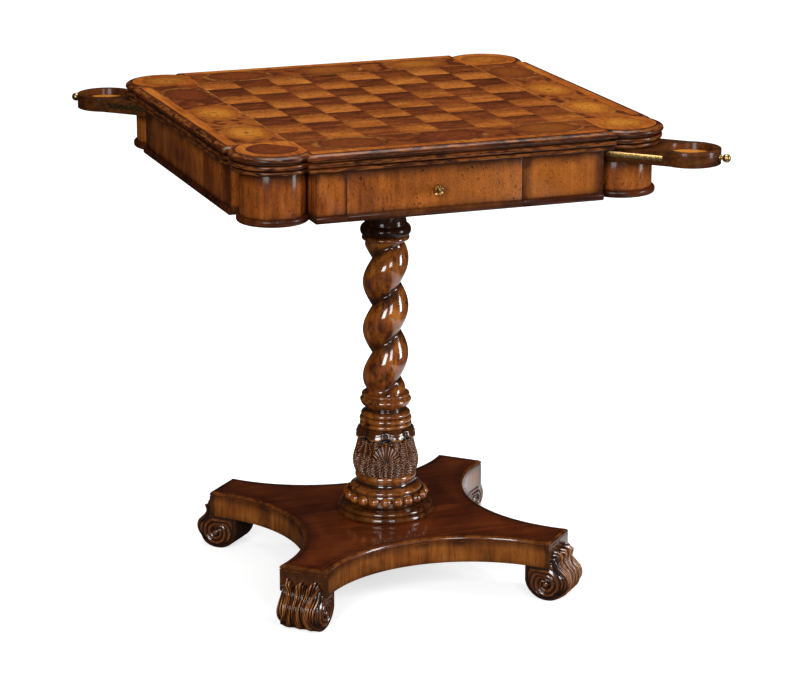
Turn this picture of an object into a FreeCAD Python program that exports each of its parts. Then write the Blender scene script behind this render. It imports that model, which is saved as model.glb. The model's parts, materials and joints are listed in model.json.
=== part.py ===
import FreeCAD, Part
import math
import os

import Sketcher

# Chess table on a barley-twist column: an inlaid top with rounded corner lobes,
# a frieze with two opposed drawers, two cup slides that pull out along the
# diagonal, and a four-armed platform on scroll feet. Millimetres, +Z up, +Y to
# the back, origin on the floor under the column. The cup slides stand pulled
# out and the drawers shut.

SIZES = [
    ("table_height", 762, "floor to playing surface"),
    ("top_half", 336, "half width across the straight top edges"),
    ("lobe_radius", 64, "round corner lobe of the top"),
    ("overhang", 16, "top edge beyond the frieze"),
    ("veneer", 1.5, "sawn veneer and inlay"),
    ("nosing_height", 10, "moulded edge of the top"),
    ("nosing_width", 14, "moulded edge, outside to inside"),
    ("nosing_flat", 11, "top edge to crossbanding"),
    ("under_height", 18, "build-up panel under the top"),
    ("under_inset", 9.5, "build-up panel in from the top edge"),
    ("upper_bead_inset", 1.8, "upper bead in from the top edge"),
    ("upper_bead_height", 8, "upper bead"),
    ("upper_bead_drop", 2.5, "groove above the upper bead"),
    ("lower_bead_inset", 4, "lower bead in from the top edge"),
    ("lower_bead_height", 6.5, "lower bead"),
    ("arris", 0.8, "flat left beside a rounded edge"),
    ("overcut", 2, "cutters run past the wood they cut"),
    ("border_width", 75, "oyster border round the board"),
    ("string_width", 1.6, "pale line round the board"),
    ("crossband_width", 14.8, "crossbanding inside the moulded edge"),
    ("lobe_band", 26, "top edge to the round veneer in each lobe"),
    ("oyster_chord", 27, "its flat side from its centre"),
    ("frieze_height", 76, "under the top to the frieze bottom"),
    ("rail_thickness", 20, "frieze rails"),
    ("return_thickness", 14, "panels behind the corner posts"),
    ("post_gap", 0.5, "round of the corner post to the panels"),
    ("bead_height", 11, "bead round the foot of the frieze"),
    ("bead_reach", 5, "bead beyond the frieze"),
    ("floor_lift", 1, "closing board above the frieze bottom"),
    ("floor_thickness", 10, "closing board of the frieze"),
    ("bearer_half", 20, "half width of the cross bearer"),
    ("short_stile", 47.2, "frieze rail left of a drawer"),
    ("long_stile", 128.2, "frieze rail right of a drawer"),
    ("drawer_seam", 0.8, "seam round the drawer front"),
    ("drawer_lip", 8, "drawer front beyond the box, each side"),
    ("drawer_clear", 1, "drawer box to partition"),
    ("drawer_lift", 2, "drawer box above the closing board"),
    ("drawer_headroom", 4.4, "drawer sides to the slide guides"),
    ("drawer_wall", 12, "drawer side"),
    ("drawer_back_gap", 8, "drawer back to cross bearer"),
    ("drawer_back", 10, "drawer back"),
    ("drawer_floor_lift", 3, "drawer floor above the side's edge"),
    ("drawer_floor", 4, "drawer floor"),
    ("runner_height", 8, "runner strip"),
    ("runner_reach", 6, "runner strip out of the partition"),
    ("runner_clear", 0.3, "runner in its groove"),
    ("partition", 12, "panel beside a drawer"),
    ("partition_rise", 2, "panel beside a drawer above the drawer's side"),
    ("pull_radius", 8.5, "rosette knob of a drawer"),
    ("pull_length", 19, "rosette knob of a drawer"),
    ("pull_neck", 4.5, "its neck"),
    ("pull_stem", 3, "its stem"),
    ("pull_drop", 37, "knob under the frieze top"),
    ("slide_height", 22, "cup slide"),
    ("slide_cheek", 5, "arm's side in from the corner post's round"),
    ("slide_shut", 54, "arm's tail from the table centre when shut"),
    ("slide_travel", 110, "pull of the cup slide"),
    ("slide_clear", 0.3, "slide to the pieces round it"),
    ("cup_inset", 2, "round end in from the corner post's round"),
    ("cup_wall", 11, "wall round the recess"),
    ("well_depth", 12, "recess for a glass"),
    ("liner", 2, "disc in the recess"),
    ("strip_height", 8, "brass strip let into the arm"),
    ("strip_depth", 2, "brass strip let into the arm"),
    ("strip_front", 28, "strip's outer end from the cup centre"),
    ("strip_tail", 12, "strip's inner end from the arm's tail"),
    ("guide", 12, "side guide of the slide"),
    ("guide_lip", 6, "lip that carries the slide"),
    ("guide_lip_height", 5, "lip that carries the slide"),
    ("guide_start", 150, "guide's inner end from the table centre"),
    ("guide_gap", 6.3, "guide's outer end to the panels behind the post"),
    ("stop_radius", 5, "stop peg under the arm's tail"),
    ("stop_inset", 12, "stop peg from the arm's tail"),
    ("stop_drop", 4, "stop peg below the arm"),
    ("stop_bar", 12, "bar that the stop peg meets"),
    ("stop_half", 30, "half width of the inner stop block"),
    ("finial_radius", 6.5, "turned knob on the cup"),
    ("finial_length", 17, "turned knob on the cup"),
    ("finial_neck", 2.6, "its neck"),
    ("finial_stem", 2.2, "its stem"),
    ("stem_depth", 9, "holes of the knob stems"),
    ("stem_clear", 0.05, "fitted rounds in their holes"),
    ("foot_height", 55.5, "floor to platform"),
    ("core_height", 33, "platform block"),
    ("core_inset", 0.5, "platform block in from its top board"),
    ("board_height", 10, "moulded top board of the platform"),
    ("arm_end", 298, "centre to arm end, along the diagonal"),
    ("arm_half", 40, "half width of the arm's end"),
    ("waist", 151, "centre to the middle of a hollow side"),
    ("scroll_setback", 8, "scroll centre in from the arm's end"),
    ("scroll_base", 38, "curve of the scroll's underside"),
    ("scroll_nose", 24, "curve of the scroll's ends"),
    ("scroll_flat", 0.7, "scroll cut flat on the floor"),
    ("scroll_half", 33, "half width of the scroll"),
    ("scroll_round", 5, "rounding of the scroll's sides"),
    ("volute_radius", 20, "raised spiral on the scroll's side"),
    ("volute_reach", 3, "raised spiral beyond the scroll's side"),
    ("eye_radius", 6, "eye of the spiral"),
    ("eye_reach", 2, "eye beyond the spiral"),
    ("leaf_rise", 28, "leaf on the arm's end, above the foot"),
    ("leaf_tip", 7, "leaf at its tip"),
    ("dowel_radius", 6, "foot dowel"),
    ("dowel_half", 16, "half length of a foot dowel"),
    ("rod_radius", 5, "tie rod through the column"),
    ("rod_clear", 0.5, "tie rod in its bore"),
    ("rod_end", 2, "tie rod beyond a nut"),
    ("nut_radius", 12, "round nuts of the tie rod"),
    ("nut_height", 8, "round nuts of the tie rod"),
    ("nut_clear", 0.5, "nuts in their recesses"),
    ("nut_recess", 12, "depth of the nut recesses"),
    ("ring_radius", 77, "lowest ring of the column"),
    ("ring_height", 17, "lowest ring of the column"),
    ("pearl_core", 57, "ring behind the pearls"),
    ("pearl_ring_height", 22, "ring behind the pearls"),
    ("pearl_offset", 3, "pearl centres beyond the ring"),
    ("pearl_count", 20, "pearls"),
    ("pearl_radius", 7.6, "pearl"),
    ("pearl_half", 8.8, "half height of a pearl"),
    ("plinth_radius", 57, "hollow moulding above the pearls"),
    ("plinth_neck", 44.5, "its hollow"),
    ("plinth_top", 48, "its upper ring"),
    ("plinth_height", 28, "hollow moulding above the pearls"),
    ("vase_radius", 50, "carved vase"),
    ("vase_foot", 45, "carved vase at its foot"),
    ("vase_neck", 42.5, "carved vase at its neck"),
    ("vase_height", 60, "carved vase"),
    ("collar_radius", 48.5, "leaf collar on the vase"),
    ("collar_height", 16, "leaf collar on the vase"),
    ("reel_radius", 40, "turned rings over the collar"),
    ("reel_step", 1.5, "each ring smaller than the one below"),
    ("reel_neck", 30.5, "groove under the bowl ring"),
    ("reel_height", 54, "turned rings over the collar"),
    ("twist_outer", 36, "bulge of the barley twist"),
    ("twist_inner", 21, "groove of the barley twist"),
    ("twist_end", 29.5, "shaft at its ends"),
    ("twist_pitch", 76.6, "rise of one full turn"),
    ("twist_fade", 14, "run-out of the twist"),
    ("twist_bearing", 216, "groove's bearing at the lower end"),
    ("capital_height", 115, "capital with its rings"),
    ("capital_radius", 62, "plate under the frieze"),
    ("capital_plate", 14, "plate under the frieze"),
    ("capital_neck", 32, "neck of the capital"),
    ("necking_radius", 40, "dark ring over the twist"),
    ("necking_height", 18, "dark ring over the twist"),
    ("necklet_radius", 37.5, "small ring under it"),
    ("necklet_height", 7, "small ring under it"),
]

doc = FreeCAD.newDocument("ChessTable")
sheet = doc.addObject("Spreadsheet::Sheet", "Sizes")
for row, (alias, value, note) in enumerate(SIZES, start=1):
    sheet.set(f"A{row}", note)
    sheet.set(f"B{row}", str(value))
    sheet.setAlias(f"B{row}", alias)
doc.recompute()


class SheetNames:
    """Gives a size's name as an expression reads it."""

    def __getattr__(self, alias):
        return f"Sizes.{alias}"


size = SheetNames()
DIAGONAL = "sqrt(0.5)"
PANELS_A_SIDE = 3
# Degrees where a scroll's underside turns into its ends, and its front end into the leaf
TOE_LEAN = 65
BROW_LEAN = 35
Y_AXIS = FreeCAD.Vector(0, 1, 0)
Z_AXIS = FreeCAD.Vector(0, 0, 1)

# Places across the table, worked out from the sizes
lobe_centre = f"({size.top_half} - {size.lobe_radius})"
lobe_bearing = f"({lobe_centre} / {DIAGONAL})"
post_radius = f"({size.lobe_radius} - {size.overhang})"
rail_half = f"({lobe_centre} - {post_radius} - {size.post_gap})"
straight_half = f"({rail_half} + {size.overhang})"
frieze_face = f"({size.top_half} - {size.overhang})"
frieze_inner = f"({frieze_face} - {size.rail_thickness})"
floor_half = f"({rail_half} - {size.return_thickness})"
border_outer = f"({size.top_half} - {size.nosing_flat} - {size.crossband_width})"
border_inner = f"({border_outer} - {size.border_width})"
board_half = f"({border_inner} - {size.string_width})"
square_side = f"({board_half} / 4)"
border_half = f"(min({board_half}; {straight_half} - {size.nosing_flat}))"
panel_length = f"(2 * {border_half} / {PANELS_A_SIDE})"
oyster_radius = f"({size.lobe_radius} - {size.lobe_band})"
nosing_round = f"(min({size.nosing_height} / 2; {size.nosing_flat}) - {size.arris})"
bead_edge = f"(min({size.bead_height} / 2; {size.bead_reach}) - {size.arris})"
drawer_face = f"({frieze_inner} + {size.drawer_seam})"
drawer_end = f"({size.bearer_half} + {size.drawer_back_gap})"
drawer_width = f"(2 * {rail_half} - {size.short_stile} - {size.long_stile} - 2 * {size.drawer_seam})"
drawer_shift = f"(({size.short_stile} - {size.long_stile}) / 2)"
opening_half = f"({drawer_width} / 2 + {size.drawer_seam})"
drawer_half = f"({drawer_width} / 2 - {size.drawer_lip})"
drawer_inner = f"({drawer_half} - {size.drawer_wall})"
partition_half = f"({drawer_half} + {size.drawer_clear})"
cup_bearing = f"({lobe_bearing} + {size.slide_travel})"
tail_bearing = f"({size.slide_shut} + {size.slide_travel})"
slide_half = f"({post_radius} - {size.slide_cheek})"
cup_radius = f"({post_radius} - {size.cup_inset})"
well_radius = f"({cup_radius} - {size.cup_wall})"
guide_half = f"({slide_half} + {size.slide_clear})"
guide_end = f"({floor_half} / {DIAGONAL} - {size.guide_gap})"
core_end = f"({size.arm_end} - {size.core_inset})"
scroll_bearing = f"({size.arm_end} - {size.scroll_setback})"
nose_shift = f"(({size.scroll_base} - {size.scroll_nose}) * sin({TOE_LEAN}))"
scroll_rear = f"({scroll_bearing} - {nose_shift} - {size.scroll_nose})"
dowel_bearing = f"(({scroll_rear} + {core_end}) / 2)"

# Heights, from the top down and from the floor up
veneer_z = f"({size.table_height} - {size.veneer})"
nosing_z = f"({size.table_height} - {size.nosing_height})"
under_z = f"({nosing_z} - {size.under_height})"
frieze_z = f"({under_z} - {size.frieze_height})"
floor_z = f"({frieze_z} + {size.floor_lift})"
floor_top = f"({floor_z} + {size.floor_thickness})"
slide_top = f"({under_z} - {size.slide_clear})"
slide_z = f"({slide_top} - {size.slide_height})"
slot_z = f"({slide_z} - {size.slide_clear})"
well_z = f"({slide_top} - {size.well_depth})"
lip_z = f"({slot_z} - {size.guide_lip_height})"
drawer_z = f"({floor_top} + {size.drawer_lift})"
drawer_top = f"({lip_z} - {size.drawer_headroom})"
bearer_top = f"({drawer_top} + {size.partition_rise})"
runner_z = f"(({drawer_z} + {drawer_top} - {size.runner_height}) / 2)"
board_z = f"({size.foot_height} + {size.core_height})"
platform_top = f"({board_z} + {size.board_height})"
pearl_z = f"({platform_top} + {size.ring_height})"
plinth_z = f"({pearl_z} + {size.pearl_ring_height})"
vase_z = f"({plinth_z} + {size.plinth_height})"
collar_z = f"({vase_z} + {size.vase_height})"
reel_z = f"({collar_z} + {size.collar_height})"
twist_z = f"({reel_z} + {size.reel_height})"
capital_z = f"({floor_z} - {size.capital_height})"
bore = f"({size.rod_radius} + {size.rod_clear})"

subparts = []


def number(expression):
    """Value of an expression over the sheet."""
    return float(sheet.evalExpression(str(expression)))


def keep(thing, label):
    """Name a finished sub-part."""
    thing.Label = label
    subparts.append(thing)


def bind_place(thing, place):
    for axis, expression in zip("xyz", place):
        thing.setExpression(f"Placement.Base.{axis}", str(expression))


def turn(angle):
    """Placement turned about the table's axis."""
    return FreeCAD.Placement(FreeCAD.Vector(), FreeCAD.Rotation(Z_AXIS, angle))


def box(name, x, y, z):
    """Block between two expressions along each axis."""
    block = doc.addObject("Part::Box", name)
    for side, (low, high) in zip(("Length", "Width", "Height"), (x, y, z)):
        block.setExpression(side, f"({high}) - ({low})")
    bind_place(block, (x[0], y[0], z[0]))
    return block


def diagonal_box(name, reach, half, z):
    """Block along the diagonal of the far right corner."""
    block = box(name, reach, (f"-{half}", half), z)
    block.Placement = turn(45)
    start = reach[0]
    bind_place(block, (f"({start} + {half}) * {DIAGONAL}", f"({start} - {half}) * {DIAGONAL}", z[0]))
    return block


def cylinder(name, radius, centre, z):
    """Upright cylinder about a centre, between two heights."""
    drum = doc.addObject("Part::Cylinder", name)
    drum.setExpression("Radius", str(radius))
    drum.setExpression("Height", f"({z[1]}) - ({z[0]})")
    bind_place(drum, (*centre, z[0]))
    return drum


def level_cylinder(name, radius, start, length, bearing=0):
    """Cylinder lying level from a start point: along X, or on a bearing from it."""
    drum = doc.addObject("Part::Cylinder", name)
    drum.Placement = turn(bearing).multiply(
        FreeCAD.Placement(FreeCAD.Vector(), FreeCAD.Rotation(Y_AXIS, 90))
    )
    drum.setExpression("Radius", str(radius))
    drum.setExpression("Height", str(length))
    bind_place(drum, start)
    return drum


def fuse(name, *pieces):
    result = doc.addObject("Part::MultiFuse", name)
    result.Shapes = list(pieces)
    return result


def cut(name, base, *tools):
    result = doc.addObject("Part::Cut", name)
    result.Base = base
    result.Tool = tools[0] if len(tools) == 1 else fuse(name + "Tools", *tools)
    return result


def group(name, pieces, angle=0):
    """Solids held as one node, turned about the table's axis."""
    result = doc.addObject("Part::Compound", name)
    result.Links = list(pieces)
    result.Placement = turn(angle)
    return result


def new_sketch(body, name, plane, lift="0"):
    sketch = body.newObject("Sketcher::SketchObject", name)
    support = next(part for part in body.Origin.OriginFeatures if part.Role == plane)
    sketch.AttachmentSupport = [(support, "")]
    sketch.MapMode = "FlatFace"
    sketch.setExpression("AttachmentOffset.Base.z", str(lift))
    return sketch


def bind_constraint(sketch, name, expression, kind, *places):
    """Add a constraint whose size follows the sheet."""
    index = sketch.addConstraint(Sketcher.Constraint(kind, *places, number(expression)))
    sketch.renameConstraint(index, name)
    sketch.setExpression(f"Constraints.{name}", str(expression))


def bow(start, end, slack, side):
    """Corner that begins an arc: radius as a share of the chord, side 1 bulges out."""
    chord = f"sqrt(({end[0]} - {start[0]})^2 + ({end[1]} - {start[1]})^2)"
    return (*start, f"{slack} * {chord}", side)


def arc_between(start, end, radius, side):
    """Arc shorter than a half circle, with its centre left of the way on side 1."""
    chord = end - start
    rise = math.sqrt(radius**2 - (chord.Length / 2) ** 2)
    left = FreeCAD.Vector(-chord.y, chord.x, 0).normalize()
    crown = (start + end) / 2 + left * side * (rise - radius)
    return Part.Arc(start, crown, end)


def draw_outline(sketch, corners):
    """Closed outline. A corner is (x, y), or (x, y, radius, side) before an arc."""
    places = [FreeCAD.Vector(number(corner[0]), number(corner[1]), 0) for corner in corners]
    edges = []
    for index, (x, y, *arc) in enumerate(corners):
        start, end = places[index], places[(index + 1) % len(places)]
        if arc:
            edge = sketch.addGeometry(arc_between(start, end, number(arc[0]), arc[1]))
            bind_constraint(sketch, f"r{index}", arc[0], "Radius", edge)
        else:
            edge = sketch.addGeometry(Part.LineSegment(start, end))
        first = 1 if sketch.getPoint(edge, 1).distanceToPoint(start) < 1e-6 else 2
        edges.append((edge, first, 3 - first))
        bind_constraint(sketch, f"x{index}", x, "DistanceX", -1, 1, edge, first)
        bind_constraint(sketch, f"y{index}", y, "DistanceY", -1, 1, edge, first)
    for (edge, _, last), (following, first, _) in zip(edges, edges[1:] + edges[:1]):
        sketch.addConstraint(Sketcher.Constraint("Coincident", edge, last, following, first))


def draw_circle(sketch, x, y, radius):
    centre = FreeCAD.Vector(number(x), number(y), 0)
    edge = sketch.addGeometry(Part.Circle(centre, Z_AXIS, number(radius)))
    bind_constraint(sketch, "x", x, "DistanceX", -1, 1, edge, 3)
    bind_constraint(sketch, "y", y, "DistanceY", -1, 1, edge, 3)
    bind_constraint(sketch, "r", radius, "Radius", edge)


def pad(body, name, sketch, length, symmetric=False):
    feature = body.newObject("PartDesign::Pad", name)
    feature.Profile = sketch
    if symmetric:
        feature.SideType = "Symmetric"
    feature.setExpression("Length", str(length))
    return feature


def level_edge(edge):
    """True for an edge that lies level."""
    return edge.BoundBox.ZLength < 1e-6


def fillet(body, name, base, radius, wanted):
    """Round the edges of a feature that a test picks."""
    doc.recompute()
    names = [f"Edge{n}" for n, edge in enumerate(base.Shape.Edges, start=1) if wanted(edge)]
    feature = body.newObject("PartDesign::Fillet", name)
    feature.Base = (base, names)
    feature.setExpression("Radius", str(radius))


def slab(name, corners, z, rounding=None, wanted=level_edge):
    """Level board with an outline, its chosen edges rounded if asked."""
    body = doc.addObject("PartDesign::Body", name)
    sketch = new_sketch(body, name + "Outline", "XY_Plane", z[0])
    draw_outline(sketch, corners)
    board = pad(body, name + "Pad", sketch, f"({z[1]}) - ({z[0]})")
    if rounding:
        fillet(body, name + "Rounding", board, rounding, wanted)
    return body


def turned(name, profile):
    """Turned piece from a closed profile of (radius, height) corners."""
    body = doc.addObject("PartDesign::Body", name)
    sketch = new_sketch(body, name + "Profile", "XZ_Plane")
    draw_outline(sketch, profile)
    feature = body.newObject("PartDesign::Revolution", name + "Turning")
    feature.Profile = sketch
    feature.ReferenceAxis = (sketch, ["V_Axis"])
    feature.Angle = 360
    return body


def half_round(radius, z):
    """Corners of a full round moulding between two heights."""
    bend = f"(({z[1]}) - ({z[0]})) / 2"
    middle = f"(({z[1]}) + ({z[0]})) / 2"
    inner = f"({radius} - {bend})"
    return [(inner, z[0], bend, 1), (radius, middle, bend, 1), (inner, z[1])]


def four_sided(quarter):
    """Repeat a run of corners for the four sides, a quarter turn each."""
    corners = list(quarter)
    for _ in range(3):
        quarter = [(f"-({y})", x, *arc) for x, y, *arc in quarter]
        corners += quarter
    return corners


def top_outline(inset):
    """Plan of the table top, set in by a distance: straight sides, steps and lobes."""
    side = f"({size.top_half} - {inset})"
    half = f"({straight_half} - {inset})"
    radius = f"({size.lobe_radius} - {inset})"
    meet = f"({lobe_centre} + sqrt({radius}^2 - ({lobe_centre} - {half})^2))"
    crown = f"({lobe_centre} + {radius} * {DIAGONAL})"
    return four_sided([
        (f"-{half}", f"-{side}"),
        (half, f"-{side}"),
        (half, f"-{meet}", radius, 1),
        (crown, f"-{crown}", radius, 1),
        (meet, f"-{half}"),
    ])


def lobe_oyster(quarter, use):
    """Round veneer of a corner lobe, trimmed on the sides towards the board."""
    name = f"{use}{quarter}"
    layer = (veneer_z, size.table_height)
    disc = cylinder(name + "Disc", oyster_radius, (lobe_centre, lobe_centre), layer)
    far = f"({lobe_centre} + {oyster_radius})"
    border = ("0", border_inner)
    whole = ("0", far)
    chord = (f"{lobe_bearing} - {oyster_radius}", f"{lobe_bearing} - {size.oyster_chord}")
    trims = [box(name + "Side", border, whole, layer), box(name + "Back", whole, border, layer)]
    trims.append(diagonal_box(name + "Chord", chord, oyster_radius, layer))
    return group(name + "Placed", [cut(name, disc, *trims)], 90 * quarter)


def make_board():
    """Chess squares, the line round them, oyster border, lobe veneers and crossbanding."""
    layer = (veneer_z, size.table_height)
    squares = {"dark_squares": [], "light_squares": []}
    for column in range(8):
        for line in range(8):
            shade = "light_squares" if (column + line) % 2 else "dark_squares"
            starts = [f"({step - 4} * {square_side})" for step in (column, line)]
            spans = [(start, f"{start} + {square_side}") for start in starts]
            squares[shade].append(box(f"Square{column}{line}", *spans, layer))
    for shade, blocks in squares.items():
        keep(group(shade, blocks), shade)

    frame = (f"-{border_inner}", border_inner)
    field = (f"-{board_half}", board_half)
    outer = box("StringOuter", frame, frame, layer)
    keep(cut("String", outer, box("StringField", field, field, layer)), "board_stringing")

    panels = []
    depth = (f"-{border_outer}", f"-{border_inner}")
    for quarter in range(4):
        for place in range(PANELS_A_SIDE):
            start = f"({place} * {panel_length} - {border_half})"
            span = (start, f"{start} + {panel_length}")
            name = f"Oyster{quarter}{place}"
            panels.append(group(name + "Placed", [box(name, span, depth, layer)], 90 * quarter))
    keep(group("OysterPanels", panels), "oyster_panels")
    rounds = [lobe_oyster(quarter, "LobeOyster") for quarter in range(4)]
    keep(group("LobeOysters", rounds), "corner_oysters")

    band = slab("CrossbandBlank", top_outline(size.nosing_flat), layer)
    border = (f"-{border_outer}", border_outer)
    hollows = [lobe_oyster(quarter, "LobeHollow") for quarter in range(4)]
    panelled = (f"-{border_half}", border_half)
    hollows.append(box("BorderAlong", border, panelled, layer))
    hollows.append(box("BorderAcross", panelled, border, layer))
    hollows.append(box("BorderField", frame, frame, layer))
    keep(cut("Crossband", band, *hollows), "crossbanding")


def make_top():
    """Panel under the veneer, moulded edge, build-up panel and the two beads."""
    keep(slab("TopPanel", top_outline(size.nosing_width), (nosing_z, veneer_z)), "top_panel")

    whole = (nosing_z, size.table_height)
    nosing = slab("Nosing", top_outline("0"), whole, nosing_round)
    above = f"({size.table_height} + {size.overcut})"
    rebate = slab("NosingRebate", top_outline(size.nosing_flat), (veneer_z, above))
    hole = slab("NosingHole", top_outline(size.nosing_width), (f"({nosing_z} - {size.overcut})", above))
    keep(cut("NosingRing", nosing, rebate, hole), "edge_nosing")

    keep(slab("UnderPanel", top_outline(size.under_inset), (under_z, nosing_z)), "under_panel")
    upper_top = f"({nosing_z} - {size.upper_bead_drop})"
    upper = (f"({upper_top} - {size.upper_bead_height})", upper_top)
    lower = (under_z, f"({under_z} + {size.lower_bead_height})")
    rings = []
    through = (f"({under_z} - {size.overcut})", nosing_z)
    for name, inset, height, z in (
        ("UpperBead", size.upper_bead_inset, size.upper_bead_height, upper),
        ("LowerBead", size.lower_bead_inset, size.lower_bead_height, lower),
    ):
        ring = slab(name, top_outline(inset), z, f"{height} / 2 - {size.arris}")
        hole = slab(name + "Hole", top_outline(size.under_inset), through)
        rings.append(cut(name + "Ring", ring, hole))
    keep(group("TopBeads", rings), "top_beads")


def bead_strip(name, span):
    """Straight length of the frieze bead along the front face."""
    face = f"-{frieze_face}"
    front = f"-({frieze_face} + {size.bead_reach})"
    corners = [(span[0], front), (span[1], front), (span[1], face), (span[0], face)]
    limit = number(front) + 1e-6

    def outer_edge(edge):
        return level_edge(edge) and edge.BoundBox.YMax < limit

    return slab(name, corners, (frieze_z, f"{frieze_z} + {size.bead_height}"), bead_edge, outer_edge)


def post_bead(quarter):
    """Bead round a corner post, ending on the panels behind the post."""
    name = f"PostBead{quarter}"
    z = (frieze_z, f"({frieze_z} + {size.bead_height})")
    outside = f"({post_radius} + {size.bead_reach})"
    soft = bead_edge
    ring = turned(name, [
        (post_radius, z[0]),
        (f"{outside} - {soft}", z[0], soft, 1),
        (outside, f"{z[0]} + {soft}"),
        (outside, f"{z[1]} - {soft}", soft, 1),
        (f"{outside} - {soft}", z[1]),
        (post_radius, z[1]),
    ])
    bind_place(ring, (lobe_centre, lobe_centre, "0"))
    far = f"({lobe_centre} + {outside} + {size.bead_reach})"
    shown = slab(name + "Shown", [
        (lobe_centre, rail_half),
        (far, rail_half),
        (far, far),
        (rail_half, far),
        (rail_half, lobe_centre),
        (lobe_centre, lobe_centre),
    ], z)
    trimmed = doc.addObject("Part::Common", name + "Trimmed")
    trimmed.Base = ring
    trimmed.Tool = shown
    return group(name + "Placed", [trimmed], 90 * quarter)


def drawer_edge(sign, reach):
    """Place beside the drawer's middle line, in the drawer's own facing."""
    return f"({drawer_shift} {sign} ({reach}))"


def drawer_span(inner, outer):
    """The same span on both sides of the drawer's middle line."""
    return [
        (drawer_edge("-", outer), drawer_edge("-", inner)),
        (drawer_edge("+", inner), drawer_edge("+", outer)),
    ]


def make_frieze():
    """Rails, the panels behind the corner posts, the posts and the bead at the foot."""
    height = (frieze_z, under_z)
    whole = (f"-{rail_half}", rail_half)
    depth = (f"-{frieze_face}", f"-{frieze_inner}")
    beads = []
    keep(box("LeftRail", depth, whole, height), "left_rail")
    keep(box("RightRail", (frieze_inner, frieze_face), whole, height), "right_rail")
    for angle in (90, 270):
        beads.append(group(f"SideBead{angle}", [bead_strip(f"SideStrip{angle}", whole)], angle))
    left = (f"-{rail_half}", drawer_edge("-", opening_half))
    right = (drawer_edge("+", opening_half), rail_half)
    for label, angle in (("front_rails", 0), ("back_rails", 180)):
        rails = [box(f"{label}{side}", span, depth, height) for side, span in enumerate((left, right))]
        keep(group(label, rails, angle), label)
        strips = [bead_strip(f"{label}Bead{side}", span) for side, span in enumerate((left, right))]
        beads.append(group(label + "Bead", strips, angle))

    returns = []
    for quarter in range(4):
        name = f"Return{quarter}"
        side = box(name + "Side", (floor_half, rail_half), (floor_half, frieze_inner), height)
        back = box(name + "Back", (rail_half, frieze_inner), (floor_half, rail_half), height)
        panels = fuse(name, side, back)
        if quarter % 2:
            way = diagonal_box(name + "Way", ("0", lobe_bearing), guide_half, (slot_z, under_z))
            panels = cut(name + "Slotted", panels, way)
        returns.append(group(name + "Placed", [panels], 90 * quarter))
    keep(group("FriezeReturns", returns), "frieze_returns")

    for quarter, label in enumerate(("far_right", "far_left", "near_left", "near_right")):
        name = f"Post{quarter}"
        z = (frieze_z, slot_z if quarter % 2 else under_z)
        drum = cylinder(name + "Drum", post_radius, (lobe_centre, lobe_centre), z)
        back = box(name + "Back", (rail_half, lobe_centre), (rail_half, lobe_centre), z)
        keep(group(name + "Placed", [fuse(name, drum, back)], 90 * quarter), f"{label}_post")
        beads.append(post_bead(quarter))
    keep(group("FriezeBead", beads), "frieze_bead")


def make_carcase():
    """Closing board, cross bearer, and the drawers' partitions and runners."""
    long = (f"-{frieze_inner}", frieze_inner)
    short = (f"-{floor_half}", floor_half)
    z = (floor_z, floor_top)
    boards = fuse("FloorBoards", box("FloorAlong", long, short, z), box("FloorAcross", short, long, z))
    keep(cut("FloorBored", boards, cylinder("FloorBore", bore, ("0", "0"), z)), "closing_board")

    half = (f"-{size.bearer_half}", size.bearer_half)
    z = (floor_top, bearer_top)
    recess_z = (f"({bearer_top} - {size.nut_recess})", bearer_top)
    recess = cylinder("BearerRecess", f"{size.nut_radius} + {size.nut_clear}", ("0", "0"), recess_z)
    hole = cylinder("BearerBore", bore, ("0", "0"), z)
    keep(cut("BearerBored", box("Bearer", long, half, z), hole, recess), "cross_bearer")

    length = (f"-{frieze_inner}", f"-{size.bearer_half}")
    walls, runners = [], []
    wall_spans = drawer_span(partition_half, f"{partition_half} + {size.partition}")
    runner_spans = drawer_span(f"{partition_half} - {size.runner_reach}", partition_half)
    wall_z = (floor_top, bearer_top)
    strip_z = (runner_z, f"({runner_z} + {size.runner_height})")
    for facing in (0, 180):
        for side in range(2):
            name = f"{facing}{side}"
            wall = box(f"Partition{name}", wall_spans[side], length, wall_z)
            walls.append(group(f"PartitionPlaced{name}", [wall], facing))
            runner = box(f"Runner{name}", runner_spans[side], length, strip_z)
            runners.append(group(f"RunnerPlaced{name}", [runner], facing))
    keep(group("Partitions", walls), "drawer_partitions")
    keep(group("Runners", runners), "drawer_runners")


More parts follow.
